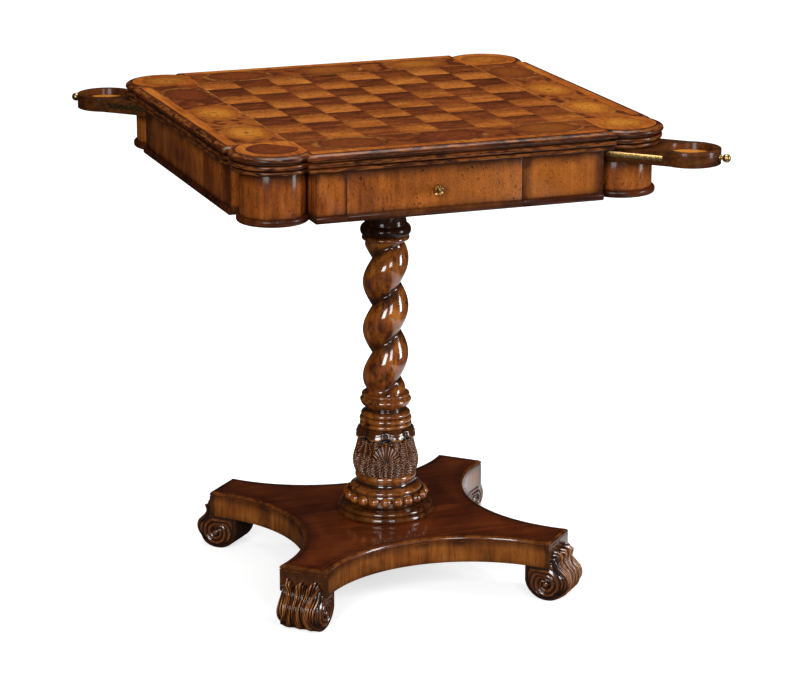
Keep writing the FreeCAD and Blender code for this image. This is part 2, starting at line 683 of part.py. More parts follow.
def make_drawer(label, facing):
    """Drawer front with its bead, sides grooved for the runners, back, floor and knob."""
    width = (drawer_edge("-", f"{drawer_width} / 2"), drawer_edge("+", f"{drawer_width} / 2"))
    front_z = (frieze_z, f"({under_z} - {size.drawer_seam})")
    front = box(label + "Board", width, (f"-{frieze_face}", f"-{drawer_face}"), front_z)
    knob_z = f"({under_z} - {size.pull_drop})"
    stem = f"({size.pull_stem} + {size.stem_clear})"
    knob_place = (drawer_shift, f"-{frieze_face}", knob_z)
    hole = level_cylinder(label + "Hole", stem, knob_place, size.stem_depth, 90)
    beaded = fuse(label + "Beaded", front, bead_strip(label + "Bead", width))
    keep(group(label + "Front", [cut(label + "Bored", beaded, hole)], facing), label + "_front")

    length = (f"-{drawer_face}", f"-{drawer_end}")
    z = (drawer_z, drawer_top)
    groove_top = f"({runner_z} + {size.runner_height} + {size.runner_clear})"
    groove_z = (f"({runner_z} - {size.runner_clear})", groove_top)
    groove = f"({partition_half} - {size.runner_reach} - {size.runner_clear})"
    walls = []
    for side, (span, channel) in enumerate(
        zip(drawer_span(drawer_inner, drawer_half), drawer_span(groove, drawer_half))
    ):
        wall = box(f"{label}Wall{side}", span, length, z)
        walls.append(cut(f"{label}Side{side}", wall, box(f"{label}Groove{side}", channel, length, groove_z)))
    keep(group(label + "Sides", walls, facing), label + "_sides")

    inside = (drawer_edge("-", drawer_inner), drawer_edge("+", drawer_inner))
    back_face = f"-({drawer_end} + {size.drawer_back})"
    back = box(label + "BackBoard", inside, (back_face, f"-{drawer_end}"), z)
    keep(group(label + "Back", [back], facing), label + "_back")
    floor_low = f"({drawer_z} + {size.drawer_floor_lift})"
    panel_z = (floor_low, f"({floor_low} + {size.drawer_floor})")
    panel = box(label + "Panel", inside, (f"-{drawer_face}", back_face), panel_z)
    keep(group(label + "Floor", [panel], facing), label + "_floor")

    head = f"({size.pull_length} * 0.58)"
    brim = f"({size.pull_length} * 0.74)"
    rise = f"({size.pull_length} - {brim})"
    dome = f"({size.pull_radius}^2 + {rise}^2) / (2 * {rise})"
    pull = turned(label + "Pull", [
        ("0", f"-{size.stem_depth} * 0.9"),
        (size.pull_stem, f"-{size.stem_depth} * 0.9"),
        (size.pull_stem, "0"),
        (f"{size.pull_radius} * 0.9", "0"),
        (f"{size.pull_radius} * 0.9", f"{size.pull_length} * 0.12"),
        (size.pull_neck, f"{size.pull_length} * 0.22"),
        (size.pull_neck, f"{head} - {size.pull_length} * 0.12"),
        (size.pull_radius, head),
        (size.pull_radius, brim, dome, 1),
        ("0", size.pull_length),
    ])
    pull.Placement = FreeCAD.Placement(FreeCAD.Vector(), FreeCAD.Rotation(FreeCAD.Vector(1, 0, 0), 90))
    bind_place(pull, knob_place)
    keep(group(label + "Knob", [pull], facing), label + "_knob")


def make_slide(label, facing):
    """Arm with its round cup, the disc in the cup, two brass strips and the knob."""
    z = (slide_z, slide_top)
    width = (f"-{slide_half}", slide_half)
    arm = box(label + "Bar", (tail_bearing, cup_bearing), width, z)
    cup = cylinder(label + "Cup", cup_radius, (cup_bearing, "0"), z)
    peg_place = (f"{tail_bearing} + {size.stop_inset}", "0")
    peg = cylinder(label + "Peg", size.stop_radius, peg_place, (f"{slide_z} - {size.stop_drop}", slide_z))
    blank = fuse(label + "Blank", arm, cup, peg)

    well = cylinder(label + "Well", well_radius, (cup_bearing, "0"), (well_z, slide_top))
    stem = f"({size.finial_stem} + {size.stem_clear})"
    cup_end = f"({cup_bearing} + {cup_radius})"
    hole_start = (f"{cup_end} - {size.stem_depth}", "0", f"{slide_z} + {size.slide_height} / 2")
    hole = level_cylinder(label + "Hole", stem, hole_start, size.stem_depth)
    run = (f"{tail_bearing} + {size.strip_tail}", f"{cup_bearing} - {size.strip_front}")
    strip_low = f"({slide_z} + ({size.slide_height} - {size.strip_height}) / 2)"
    strip_z = (strip_low, f"({strip_low} + {size.strip_height})")
    inner = f"({slide_half} - {size.strip_depth})"
    sides = ((f"-{slide_half}", f"-{inner}"), (inner, slide_half))
    slots = [box(f"{label}Slot{side}", run, span, strip_z) for side, span in enumerate(sides)]
    strips = [box(f"{label}Strip{side}", run, span, strip_z) for side, span in enumerate(sides)]
    keep(group(label + "Arm", [cut(label + "Worked", blank, well, hole, *slots)], facing), label + "_arm")
    keep(group(label + "Strips", strips, facing), label + "_strips")

    disc_radius = f"{well_radius} - {size.stem_clear}"
    disc = cylinder(label + "Disc", disc_radius, (cup_bearing, "0"), (well_z, f"{well_z} + {size.liner}"))
    keep(group(label + "Liner", [disc], facing), label + "_liner")

    ball_z = f"({size.finial_length} - {size.finial_radius})"
    seat = f"({ball_z} - sqrt({size.finial_radius}^2 - {size.finial_neck}^2))"
    flange = f"({size.finial_radius} * 0.7)"
    finial = turned(label + "Finial", [
        ("0", f"-{size.stem_depth} * 0.9"),
        (size.finial_stem, f"-{size.stem_depth} * 0.9"),
        (size.finial_stem, "0"),
        (flange, "0"),
        (flange, f"{seat} * 0.4"),
        (size.finial_neck, f"{seat} * 0.7"),
        (size.finial_neck, seat, size.finial_radius, 1),
        (size.finial_radius, ball_z, size.finial_radius, 1),
        ("0", size.finial_length),
    ])
    finial.Placement = FreeCAD.Placement(FreeCAD.Vector(), FreeCAD.Rotation(Y_AXIS, 90))
    bind_place(finial, (cup_end, "0", hole_start[2]))
    keep(group(label + "Knob", [finial], facing), label + "_knob")


def make_guides(facings):
    """Guides with lips and a stop bar under each slide, and the inner stop block."""
    run = (size.guide_start, guide_end)
    outer = f"({guide_half} + {size.guide})"
    lip = f"({guide_half} - {size.guide_lip})"
    peg_edge = f"({tail_bearing} + {size.stop_inset} + {size.stop_radius} + {size.slide_clear})"
    lip_height = (lip_z, slot_z)
    pieces = []
    for facing in facings:
        name = f"Guide{facing}"
        parts = [box(name + "Bar", (peg_edge, f"{peg_edge} + {size.stop_bar}"), (f"-{lip}", lip), lip_height)]
        parts.append(box(name + "Left", run, (guide_half, outer), (lip_z, under_z)))
        parts.append(box(name + "Right", run, (f"-{outer}", f"-{guide_half}"), (lip_z, under_z)))
        parts.append(box(name + "LeftLip", run, (lip, guide_half), lip_height))
        parts.append(box(name + "RightLip", run, (f"-{guide_half}", f"-{lip}"), lip_height))
        pieces.append(group(name + "Placed", [fuse(name, *parts)], facing))
    reach = f"({size.slide_shut} - {size.slide_clear})"
    block_half = (f"-{size.stop_half}", size.stop_half)
    block = box("StopBlock", (f"-{reach}", reach), block_half, (slide_z, under_z))
    pieces.append(group("StopBlockPlaced", [block], facings[0]))
    keep(group("SlideGuides", pieces), "slide_guides")


def make_column():
    """Turned and carved pieces from the lowest ring to the twist."""
    ring = half_round(size.ring_radius, (platform_top, pearl_z))
    keep(turned("BaseRing", [(bore, platform_top), *ring, (bore, pearl_z)]), "base_ring")

    core = turned("PearlCore", [
        (bore, pearl_z),
        (size.pearl_core, pearl_z),
        (size.pearl_core, plinth_z),
        (bore, plinth_z),
    ])
    pearls = []
    pearl_circle = f"({size.pearl_core} + {size.pearl_offset})"
    count = round(number(size.pearl_count))
    for index in range(count):
        pearl = doc.addObject("Part::Ellipsoid", f"Pearl{index}")
        pearl.setExpression("Radius1", size.pearl_half)
        pearl.setExpression("Radius2", size.pearl_radius)
        pearl.setExpression("Radius3", size.pearl_radius)
        bind_place(pearl, (pearl_circle, "0", f"({pearl_z} + {plinth_z}) / 2"))
        pearls.append(group(f"PearlPlaced{index}", [pearl], 360 * index / count))
    keep(fuse("PearlRing", core, *pearls), "pearl_ring")

    ring_top = f"({plinth_z} + {size.plinth_height} * 0.25)"
    top_ring = f"({vase_z} - {size.plinth_height} * 0.22)"
    hollow_start = (f"{size.plinth_radius} - {size.plinth_height} / 8", ring_top)
    hollow_end = (size.plinth_neck, f"{top_ring} - {size.plinth_height} * 0.1")
    keep(turned("Plinth", [
        (bore, plinth_z),
        *half_round(size.plinth_radius, (plinth_z, ring_top))[:2],
        bow(hollow_start, hollow_end, 0.8, -1),
        hollow_end,
        *half_round(size.plinth_top, (top_ring, vase_z)),
        (bore, vase_z),
    ]), "hollow_moulding")

    belly = (size.vase_radius, f"({vase_z} + {size.vase_height} * 0.45)")
    neck = (size.vase_neck, f"({vase_z} + {size.vase_height} * 0.88)")
    foot = (size.vase_foot, vase_z)
    collar_foot = (f"({size.collar_radius} * 0.94)", collar_z)
    collar_crest = (size.collar_radius, f"({collar_z} + {size.collar_height} * 0.7)")
    collar_top = (f"({size.collar_radius} * 0.9)", reel_z)
    keep(turned("Vase", [
        (bore, vase_z),
        bow(foot, belly, 2, 1),
        bow(belly, neck, 2, 1),
        neck,
        (size.vase_neck, collar_z),
        bow(collar_foot, collar_crest, 1.2, 1),
        bow(collar_crest, collar_top, 0.9, 1),
        collar_top,
        (bore, reel_z),
    ]), "carved_vase")

    levels = [f"({reel_z} + {size.reel_height} * {share})" for share in (0.17, 0.34, 0.45, 0.52, 0.8)]
    rings = []
    for index, start in enumerate((reel_z, levels[0], levels[1])):
        radius = f"({size.reel_radius} - {index} * {size.reel_step})"
        rings += half_round(radius, (start, levels[index]))
    neck = (size.reel_neck, levels[3])
    bowl = (f"({size.reel_radius} - {size.reel_step})", levels[4])
    rim = (f"({size.twist_outer} - {size.reel_step})", twist_z)
    keep(turned("Reel", [
        (bore, reel_z),
        *rings,
        (size.reel_neck, levels[2]),
        bow(neck, bowl, 0.9, 1),
        bow(bowl, rim, 1, 1),
        rim,
        (bore, twist_z),
    ]), "turned_reel")


def twist_section(height, radius_at, bearing):
    """Closed section of the twist, its seam in the groove."""
    steps = 20
    places = []
    for step in range(steps + 1):
        angle = 2 * math.pi * step / steps
        radius = radius_at(angle)
        heading = math.radians(bearing) + angle
        places.append(FreeCAD.Vector(radius * math.cos(heading), radius * math.sin(heading), height))
    curve = Part.BSplineCurve()
    curve.interpolate(places)
    return Part.Wire(curve.toShape())


def make_twist():
    """Barley-twist shaft: one rope-like bulge that winds up and runs out at both ends."""
    low, high = number(twist_z), number(capital_z)
    inner, outer, end = (number(each) for each in (size.twist_inner, size.twist_outer, size.twist_end))
    pitch, fade = number(size.twist_pitch), number(size.twist_fade)
    start_bearing = number(size.twist_bearing)
    rises = max(round((high - low) / pitch * 16), 8)
    sections = []
    for step in range(rises + 1):
        height = low + (high - low) * step / rises
        strength = min((height - low) / fade, (high - height) / fade, 1)
        strength = math.sin(strength * math.pi / 2)

        def radius_at(angle):
            rope = inner + (outer - inner) * math.sin(angle / 2)
            return end + (rope - end) * strength

        sections.append(twist_section(height, radius_at, start_bearing + 360 * (height - low) / pitch))
    rope = Part.makeLoft(sections, True)
    hole = Part.makeCylinder(number(bore), high - low, FreeCAD.Vector(0, 0, low))
    shaft = doc.addObject("Part::Feature", "TwistShaft")
    shaft.Shape = rope.cut(hole)
    keep(shaft, "twist_shaft")


def make_capital():
    """Rings over the twist and the flared capital under the frieze."""
    necklet_top = f"({capital_z} + {size.necklet_height})"
    necking_top = f"({necklet_top} + {size.necking_height})"
    plate_z = f"({floor_z} - {size.capital_plate})"
    flare_start = (size.capital_neck, f"({necking_top} + {size.necklet_height})")
    flare_end = (f"({size.capital_radius} - {size.capital_plate} / 2)", plate_z)
    keep(turned("Capital", [
        (bore, capital_z),
        *half_round(size.necklet_radius, (capital_z, necklet_top)),
        *half_round(size.necking_radius, (necklet_top, necking_top)),
        (size.capital_neck, necking_top),
        bow(flare_start, flare_end, 0.8, -1),
        *half_round(size.capital_radius, (plate_z, floor_z)),
        (bore, floor_z),
    ]), "column_capital")

    lower_seat = f"({size.foot_height} + {size.nut_recess})"
    upper_seat = f"({bearer_top} - {size.nut_recess})"
    lower_nut = (f"({lower_seat} - {size.nut_height})", lower_seat)
    upper_nut = (upper_seat, f"({upper_seat} + {size.nut_height})")
    rod_z = (f"{lower_nut[0]} - {size.rod_end}", f"{upper_nut[1]} + {size.rod_end}")
    keep(cylinder("TieRod", size.rod_radius, ("0", "0"), rod_z), "tie_rod")
    nuts = []
    for name, z in (("LowerNut", lower_nut), ("UpperNut", upper_nut)):
        blank = cylinder(name + "Blank", size.nut_radius, ("0", "0"), z)
        thread = cylinder(name + "Thread", f"{size.rod_radius} + {size.stem_clear}", ("0", "0"), z)
        nuts.append(cut(name, blank, thread))
    keep(group("TieNuts", nuts), "tie_nuts")


def platform_outline(inset):
    """Plan of the platform: four square arm ends and four hollow sides."""
    reach = f"({size.arm_end} - {inset})"
    half = f"({size.arm_half} - {inset})"
    far = f"(({reach} + {half}) * {DIAGONAL})"
    near = f"(({reach} - {half}) * {DIAGONAL})"
    rise = f"({far} - {size.waist} + {inset})"
    hollow = f"({near}^2 + {rise}^2) / (2 * {rise})"
    return four_sided([(far, near), (near, far, hollow, -1)])


def make_platform():
    """Moulded top board over a plain block bored for the tie rod and the foot dowels."""
    z = (board_z, platform_top)
    board = slab("PlatformBoard", platform_outline("0"), z, f"{size.board_height} / 2 - {size.arris}")
    keep(cut("PlatformBoardBored", board, cylinder("BoardBore", bore, ("0", "0"), z)), "platform_top")

    z = (size.foot_height, board_z)
    block = slab("PlatformBlock", platform_outline(size.core_inset), z)
    tools = [cylinder("BlockBore", bore, ("0", "0"), z)]
    recess_z = (size.foot_height, f"({size.foot_height} + {size.nut_recess})")
    tools.append(cylinder("BlockRecess", f"{size.nut_radius} + {size.nut_clear}", ("0", "0"), recess_z))
    for angle in FOOT_BEARINGS:
        tools.append(group(f"BlockHolePlaced{angle}", [dowel_hole(f"BlockHole{angle}")], angle))
    keep(cut("PlatformCore", block, *tools), "platform_core")


FOOT_BEARINGS = {45: "far_right", 135: "far_left", 225: "near_left", 315: "near_right"}
dowel_z = (f"({size.foot_height} - {size.dowel_half})", f"({size.foot_height} + {size.dowel_half})")


def dowel_hole(name):
    return cylinder(name, f"{size.dowel_radius} + {size.stem_clear}", (dowel_bearing, "0"), dowel_z)


def make_feet():
    """Scroll feet with raised spirals, each with a leaf up the arm's end, and dowels."""
    base_z = f"({size.scroll_base} - {size.scroll_flat})"
    toe = f"({size.scroll_base} * sin({TOE_LEAN}))"
    toe_z = f"({base_z} - {size.scroll_base} * cos({TOE_LEAN}))"
    nose_z = f"({toe_z} + {size.scroll_nose} * cos({TOE_LEAN}))"
    leaf_top = f"({size.foot_height} + {size.leaf_rise})"
    shoulder = (f"({scroll_bearing} + {nose_shift} + {size.scroll_nose} * cos({BROW_LEAN}))",
                f"({nose_z} + {size.scroll_nose} * sin({BROW_LEAN}))")
    leaf_edge = (f"({core_end} + {size.leaf_tip})", f"({leaf_top} - {size.leaf_tip} / 2)")
    profile = [
        (f"({scroll_bearing} + {toe})", toe_z, size.scroll_nose, 1),
        bow(shoulder, leaf_edge, 1.3, -1),
        leaf_edge,
        (core_end, leaf_top),
        (core_end, size.foot_height),
        (scroll_rear, size.foot_height),
        (scroll_rear, nose_z, size.scroll_nose, 1),
        (f"({scroll_bearing} - {toe})", toe_z, size.scroll_base, 1),
    ]
    centre_z = f"({size.foot_height} / 2)"
    volute_half = f"({size.scroll_half} + {size.volute_reach})"
    discs = (
        ("Volute", size.volute_radius, volute_half),
        ("Eye", size.eye_radius, f"({volute_half} + {size.eye_reach})"),
    )
    under_scroll = (f"({scroll_bearing} - {toe})", f"({scroll_bearing} + {toe})")
    across_scroll = (f"-{size.scroll_half}", size.scroll_half)
    tip_z = number(leaf_edge[1])
    end_x = number(core_end)

    def scroll_edge(edge):
        """True for a side edge that is clear of the platform."""
        middle = edge.CenterOfMass
        under = middle.z < number(size.foot_height) - 1e-6
        beyond = middle.x > end_x + 1e-6 and middle.z < tip_z
        return edge.BoundBox.YLength < 1e-6 and (under or beyond)

    dowels = []
    for bearing, label in FOOT_BEARINGS.items():
        name = f"Foot{bearing}"
        body = doc.addObject("PartDesign::Body", name)
        sketch = new_sketch(body, name + "Profile", "XZ_Plane")
        draw_outline(sketch, profile)
        scroll = pad(body, name + "Scroll", sketch, f"2 * {size.scroll_half}", symmetric=True)
        fillet(body, name + "Rounding", scroll, size.scroll_round, scroll_edge)
        for part, radius, half in discs:
            circle = new_sketch(body, name + part + "Circle", "XZ_Plane")
            draw_circle(circle, scroll_bearing, centre_z, radius)
            pad(body, name + part, circle, f"2 * {half}", symmetric=True)
        floor = box(name + "Floor", under_scroll, across_scroll, (f"-2 * {size.scroll_flat}", "0"))
        bored = cut(name + "Bored", body, dowel_hole(name + "Hole"), floor)
        keep(group(name + "Placed", [bored], bearing), f"{label}_foot")
        dowel = cylinder(name + "Dowel", size.dowel_radius, (dowel_bearing, "0"), dowel_z)
        dowels.append(group(name + "DowelPlaced", [dowel], bearing))
    keep(group("FootDowels", dowels), "foot_dowels")


def check_and_write():
    """Stop on any failed object, then write each sub-part to its own file."""
    doc.recompute()
    for thing in doc.Objects:
        if "Invalid" in thing.State or "Error" in thing.State:
            raise RuntimeError(f"{thing.Label} failed: {thing.State}")
    os.makedirs("parts", exist_ok=True)
    for part in subparts:
        if part.Shape.isNull() or not part.Shape.isValid() or not part.Shape.Solids:
            raise RuntimeError(f"{part.Label} has no valid solid")
        part.Shape.exportStep(f"parts/{part.Label}.step")


SLIDES = {"right_slide": 315, "left_slide": 135}
make_board()
make_top()
make_frieze()
make_carcase()
make_drawer("front_drawer", 0)
make_drawer("back_drawer", 180)
for slide, facing in SLIDES.items():
    make_slide(slide, facing)
make_guides(list(SLIDES.values()))
make_column()
make_twist()
make_capital()
make_platform()
make_feet()
check_and_write()
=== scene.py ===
import json
import math

import bmesh
import bpy
import numpy as np
from mathutils import Matrix, Vector


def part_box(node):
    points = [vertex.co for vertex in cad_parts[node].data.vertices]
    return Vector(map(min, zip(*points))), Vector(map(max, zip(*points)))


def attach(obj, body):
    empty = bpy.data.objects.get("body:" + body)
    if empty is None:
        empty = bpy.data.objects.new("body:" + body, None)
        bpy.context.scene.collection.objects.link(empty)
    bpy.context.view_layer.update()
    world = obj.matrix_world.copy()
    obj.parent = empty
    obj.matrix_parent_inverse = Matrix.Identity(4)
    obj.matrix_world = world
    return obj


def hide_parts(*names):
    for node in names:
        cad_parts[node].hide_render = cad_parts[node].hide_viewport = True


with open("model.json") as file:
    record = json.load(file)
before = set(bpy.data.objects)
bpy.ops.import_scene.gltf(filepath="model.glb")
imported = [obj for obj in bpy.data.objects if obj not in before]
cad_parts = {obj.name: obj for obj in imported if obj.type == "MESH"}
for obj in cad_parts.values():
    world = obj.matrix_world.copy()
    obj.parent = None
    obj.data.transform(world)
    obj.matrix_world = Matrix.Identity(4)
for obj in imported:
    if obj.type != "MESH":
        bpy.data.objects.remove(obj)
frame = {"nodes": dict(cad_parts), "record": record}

bl_info = {
    "name": "Chess table with inlaid board",
    "version": (1, 0, 0),
    "blender": (4, 5, 0),
    "location": "View3D > Sidebar > Chess table",
    "description": "Surfaces, carving and studio for a walnut chess table with cup slides",
    "category": "Add Mesh",
}

RECORD_SLOTS = {entry["node"]: entry["material_slot"] for entry in frame["record"]["subparts"]}
NODE_BODIES = {
    node: body for body, nodes in frame["record"]["behaviour"]["bodies"].items() for node in nodes
}
FINISHES = {}


def length(name, description, default):
    """A length setting, in metres."""
    return bpy.props.FloatProperty(
        name=name, description=description, default=default, unit="LENGTH", subtype="DISTANCE", precision=4
    )


def share(name, description, default):
    """A setting between nothing and all."""
    return bpy.props.FloatProperty(
        name=name, description=description, default=default, min=0.0, max=1.0, subtype="FACTOR"
    )


def degrees(name, description, default):
    """An angle setting, given in degrees."""
    return bpy.props.FloatProperty(
        name=name, description=description, default=math.radians(default), subtype="ANGLE"
    )


def count(name, description, default):
    """A number of repeats."""
    return bpy.props.IntProperty(name=name, description=description, default=default, min=1)


class TopSettings(bpy.types.PropertyGroup):
    """Plan of the table top and its edge mouldings."""

    half: length("Half width", "Table centre to the straight edge", 0.336)
    straight_half: length("Straight half", "Half of a straight side, between the lobes", 0.2395)
    lobe_radius: length("Lobe radius", "Round corner of the top", 0.064)
    lobe_centre: length("Lobe centre", "Lobe centre from the table's centre lines", 0.272)
    nosing_flat: length("Nosing flat", "Edge moulding that shows beside the veneer", 0.011)
    nosing_inner: length("Nosing inner", "Edge moulding's inner side", 0.014)
    upper_bead_inset: length("Upper bead inset", "Upper bead in from the top's edge", 0.0018)
    lower_bead_inset: length("Lower bead inset", "Lower bead in from the top's edge", 0.004)
    bead_gap: length("Bead gap", "Quirk between the two beads", 0.001)
    under_inset: length("Under panel inset", "Panel behind the beads", 0.0095)
    square: length("Square", "Side of a chess square", 0.0584)
    line_width: length("Line width", "Pale line round the board", 0.0016)
    border_width: length("Border width", "Oyster veneers round the board", 0.075)
    border_panels: count("Border panels", "Oyster veneers along a side", 3)
    oyster_radius: length("Oyster radius", "Round veneer in a lobe", 0.038)


class ColumnSettings(bpy.types.PropertyGroup):
    """Turned, twisted and carved pieces of the column."""

    base_radius: length("Base radius", "Lowest ring", 0.077)
    pearl_core: length("Pearl core", "Ring that holds the pearls", 0.057)
    pearl_circle: length("Pearl circle", "Circle through the pearls", 0.060)
    pearl_radius: length("Pearl radius", "Half width of a pearl", 0.0079)
    pearls: count("Pearls", "Pearls round the base", 20)
    twist_inner: length("Twist inner", "Axis to the bottom of the groove", 0.021)
    twist_depth: length("Twist depth", "Groove to crest", 0.015)
    twist_end: length("Twist end", "Radius where the twist dies out", 0.0295)
    twist_pitch: length("Twist pitch", "Rise of one full turn", 0.0766)
    twist_runout: length("Twist run-out", "Height over which the twist dies out", 0.014)
    twist_bearing: degrees("Twist bearing", "Groove's direction at its foot", 216.0)
    facing: degrees("Carving bearing", "Direction that the palmette faces", 250.2)
    carving_depth: length("Carving depth", "Recess to crest on the vase", 0.0048)
    vase_height: length("Vase height", "Foot of the vase to its collar", 0.060)


class BaseSettings(bpy.types.PropertyGroup):
    """Platform and scroll feet."""

    arm_end: length("Arm end", "Axis to the end of an arm", 0.298)
    arm_half: length("Arm half", "Half width of an arm's end", 0.040)
    waist: length("Waist", "Axis to the hollow side", 0.151)
    core_inset: length("Core inset", "Block in from the top board's edge", 0.0005)
    scroll_centre: length("Scroll centre", "Axis to the scroll's centre", 0.290)
    scroll_base: length("Scroll base", "Curve of a scroll's underside", 0.038)
    scroll_nose: length("Scroll nose", "Curve of a scroll's ends", 0.024)
    scroll_flat: length("Scroll flat", "Scroll cut flat on the floor", 0.0007)
    scroll_round: length("Scroll rounding", "Rounding of a scroll's sides", 0.005)
    toe_lean: degrees("Toe lean", "Where a scroll's underside turns into its ends", 65.0)
    brow_lean: degrees("Brow lean", "Where a scroll's front turns into the leaf", 35.0)
    foot_half: length("Foot half", "Half width of a foot", 0.033)
    volute_radius: length("Volute radius", "Raised spiral on a foot's side", 0.020)
    volute_half: length("Volute half", "Half width over the raised spirals", 0.036)
    eye_half: length("Eye half", "Half width over the spirals' eyes", 0.038)
    eye_radius: length("Eye radius", "Ball in a spiral's centre", 0.006)
    leaf_edge: length("Leaf edge", "Axis to the leaf tips", 0.3045)
    leaf_top: length("Leaf top", "Leaf tips above the floor", 0.0835)
    leaf_depth: length("Leaf depth", "Valley to ridge on the leaves", 0.0055)
    foot_height: length("Foot height", "Underside of the platform above the floor", 0.0555)
    spiral_pitch: length("Spiral pitch", "One turn of a spiral to the next", 0.0080)


class StudioSettings(bpy.types.PropertyGroup):
    """Camera, lamps and floor."""

    lens: bpy.props.FloatProperty(name="Lens", description="Focal length in millimetres", default=133.05)
    azimuth: degrees("Azimuth", "Camera's bearing round the table", -20.436)
    elevation: degrees("Elevation", "Camera's downward tilt", 15.934)
    roll: degrees("Roll", "Camera's tilt about its axis", 0.072)
    place: bpy.props.FloatVectorProperty(
        name="Place", description="Camera's place", default=(-1.5404, -4.199, 1.6519), subtype="TRANSLATION",
    )
    floor_glow: share("Floor glow", "White that the far floor shows the camera by itself", 1.0)
    # Lower glow near the table, which paints a soft shadow on the floor there.
    painted_shadow_glow: share("Near glow", "The same below the table", 0.70)
    ambient: share("Ambient", "Even light from all sides", 0.07)
    mirrored: share("Mirrored", "Surroundings as glossy surfaces see them", 0.01)


SETTINGS = {
    "table_top": TopSettings,
    "table_column": ColumnSettings,
    "table_base": BaseSettings,
    "table_studio": StudioSettings,
}


class Link:
    """A shader output that takes part in plain arithmetic."""

    def __init__(self, nodes, socket):
        self.nodes = nodes
        self.socket = socket

    def maths(self, operation, *values):
        return self.nodes.add("ShaderNodeMath", {"operation": operation}, dict(enumerate(values)))

    def __add__(self, other):
        return self.maths("ADD", self, other)

    def __sub__(self, other):
        return self.maths("SUBTRACT", self, other)

    def __rsub__(self, other):
        return self.maths("SUBTRACT", other, self)

    def __mul__(self, other):
        return self.maths("MULTIPLY", self, other)

    def __truediv__(self, other):
        return self.maths("DIVIDE", self, other)

    def __rtruediv__(self, other):
        return self.maths("DIVIDE", other, self)

    def __pow__(self, other):
        return self.maths("POWER", self, other)

    def __abs__(self):
        return self.maths("ABSOLUTE", self)

    __radd__ = __add__
    __rmul__ = __mul__

    def floor(self):
        return self.maths("FLOOR", self)

    def wave(self):
        return self.maths("SINE", self)

    def least(self, other):
        return self.maths("MINIMUM", self, other)

    def over(self, low, high):
        """Nothing below one value, all above the other, and smooth between them."""
        values = {"Value": self, "From Min": low, "From Max": high}
        return self.nodes.add("ShaderNodeMapRange", {"interpolation_type": "SMOOTHSTEP"}, values)


class Nodes:
    """A node tree, with nodes added one at a time."""

    def __init__(self, tree):
        self.tree = tree

    def feed(self, socket, value):
        if isinstance(value, Link):
            self.tree.links.new(value.socket, socket)
        else:
            socket.default_value = value

    def add(self, kind, settings, inputs, output=0):
        """Add a node: its settings first, then its inputs by name or number."""
        node = self.tree.nodes.new(kind)
        for name, value in settings.items():
            if name == "stops":
                while len(node.color_ramp.elements) < len(value):
                    node.color_ramp.elements.new(1.0)
                for element, (place, colour) in zip(node.color_ramp.elements, value):
                    element.position = place
                    element.color = colour
            else:
                setattr(node, name, value)
        for name, value in inputs.items():
            self.feed(node.inputs[name], value)
        return Link(self, node.outputs[output])

    def ramp(self, value, *stops):
        return self.add("ShaderNodeValToRGB", {"stops": stops}, {"Fac": value})

    def mix(self, factor, first, second):
        return self.add("ShaderNodeMix", {"data_type": "RGBA"}, {0: factor, 6: first, 7: second}, 2)


class Finish(Nodes):
    """One procedural material: places in millimetres, and what its surface shows."""

    def __init__(self, name, **constants):
        self.material = bpy.data.materials.new(name)
        self.material.use_nodes = True
        super().__init__(self.material.node_tree)
        self.surface = self.tree.nodes["Principled BSDF"]
        for socket, value in constants.items():
            label = socket.replace("_", " ").title().replace("Ior", "IOR")
            self.surface.inputs[label].default_value = value
        metres = self.add("ShaderNodeTexCoord", {}, {}, "Object")
        self.point = self.add("ShaderNodeVectorMath", {"operation": "SCALE"}, {0: metres, "Scale": 1000.0})
        self.x, self.y, self.z = self.split(self.point)

    def split(self, vector):
        return [self.add("ShaderNodeSeparateXYZ", {}, {0: vector}, axis) for axis in "XYZ"]

    def vector(self, x, y, z):
        return self.add("ShaderNodeCombineXYZ", {}, {"X": x, "Y": y, "Z": z})

    def moved(self, operation, first, second):
        return self.add("ShaderNodeVectorMath", {"operation": operation}, {0: first, 1: second})

    def noise(self, scale, stretch=(1, 1, 1), detail=3.0, distortion=0.0, point=None):
        """Cloudy noise, with features of about one over the scale, in millimetres."""
        place = self.moved("MULTIPLY", point or self.point, stretch)
        values = {"Vector": place, "Scale": scale, "Detail": detail, "Distortion": distortion}
        return self.add("ShaderNodeTexNoise", {}, values)

    def chance(self, point):
        return self.add("ShaderNodeTexWhiteNoise", {"noise_dimensions": "3D"}, {"Vector": point})

    def between(self, rise, fall):
        """All from one height to another; each is a pair in millimetres that the change is spread over."""
        return self.z.over(*rise) * (1.0 - self.z.over(*fall))

    def carved(self, name="relief"):
        return self.add("ShaderNodeAttribute", {"attribute_name": name}, {}, "Fac")

    def bump(self, height, strength):
        values = {"Height": height, "Strength": strength, "Distance": 0.001}
        self.feed(self.surface.inputs["Normal"], self.add("ShaderNodeBump", {}, values))

    def colour(self, value):
        self.feed(self.surface.inputs["Base Color"], value)

    def roughness(self, value):
        self.feed(self.surface.inputs["Roughness"], value)


def shade(red, green, blue):
    """Linear colour of a swatch given in 0 to 255."""
    swatch = ((value / 255 + 0.055) / 1.055 for value in (red, green, blue))
    return tuple(value ** 2.4 for value in swatch) + (1.0,)


def heights(node):
    """Foot and top of a CAD node, in millimetres."""
    return [corner.z * 1000 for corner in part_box(node)]


SATIN = {"roughness": 0.6, "specular_ior_level": 0.05, "coat_weight": 0.2, "coat_roughness": 0.12}
POLISH = {"roughness": 0.5, "specular_ior_level": 0.1, "coat_weight": 0.4, "coat_roughness": 0.14}
GLOSS = {
    "roughness": 0.45, "specular_ior_level": 0.1, "coat_weight": 1.0, "coat_roughness": 0.13, "coat_ior": 1.7,
}
STRETCH = {"x": (0.07, 1, 1), "y": (1, 0.07, 1), "z": (1, 1, 0.07)}


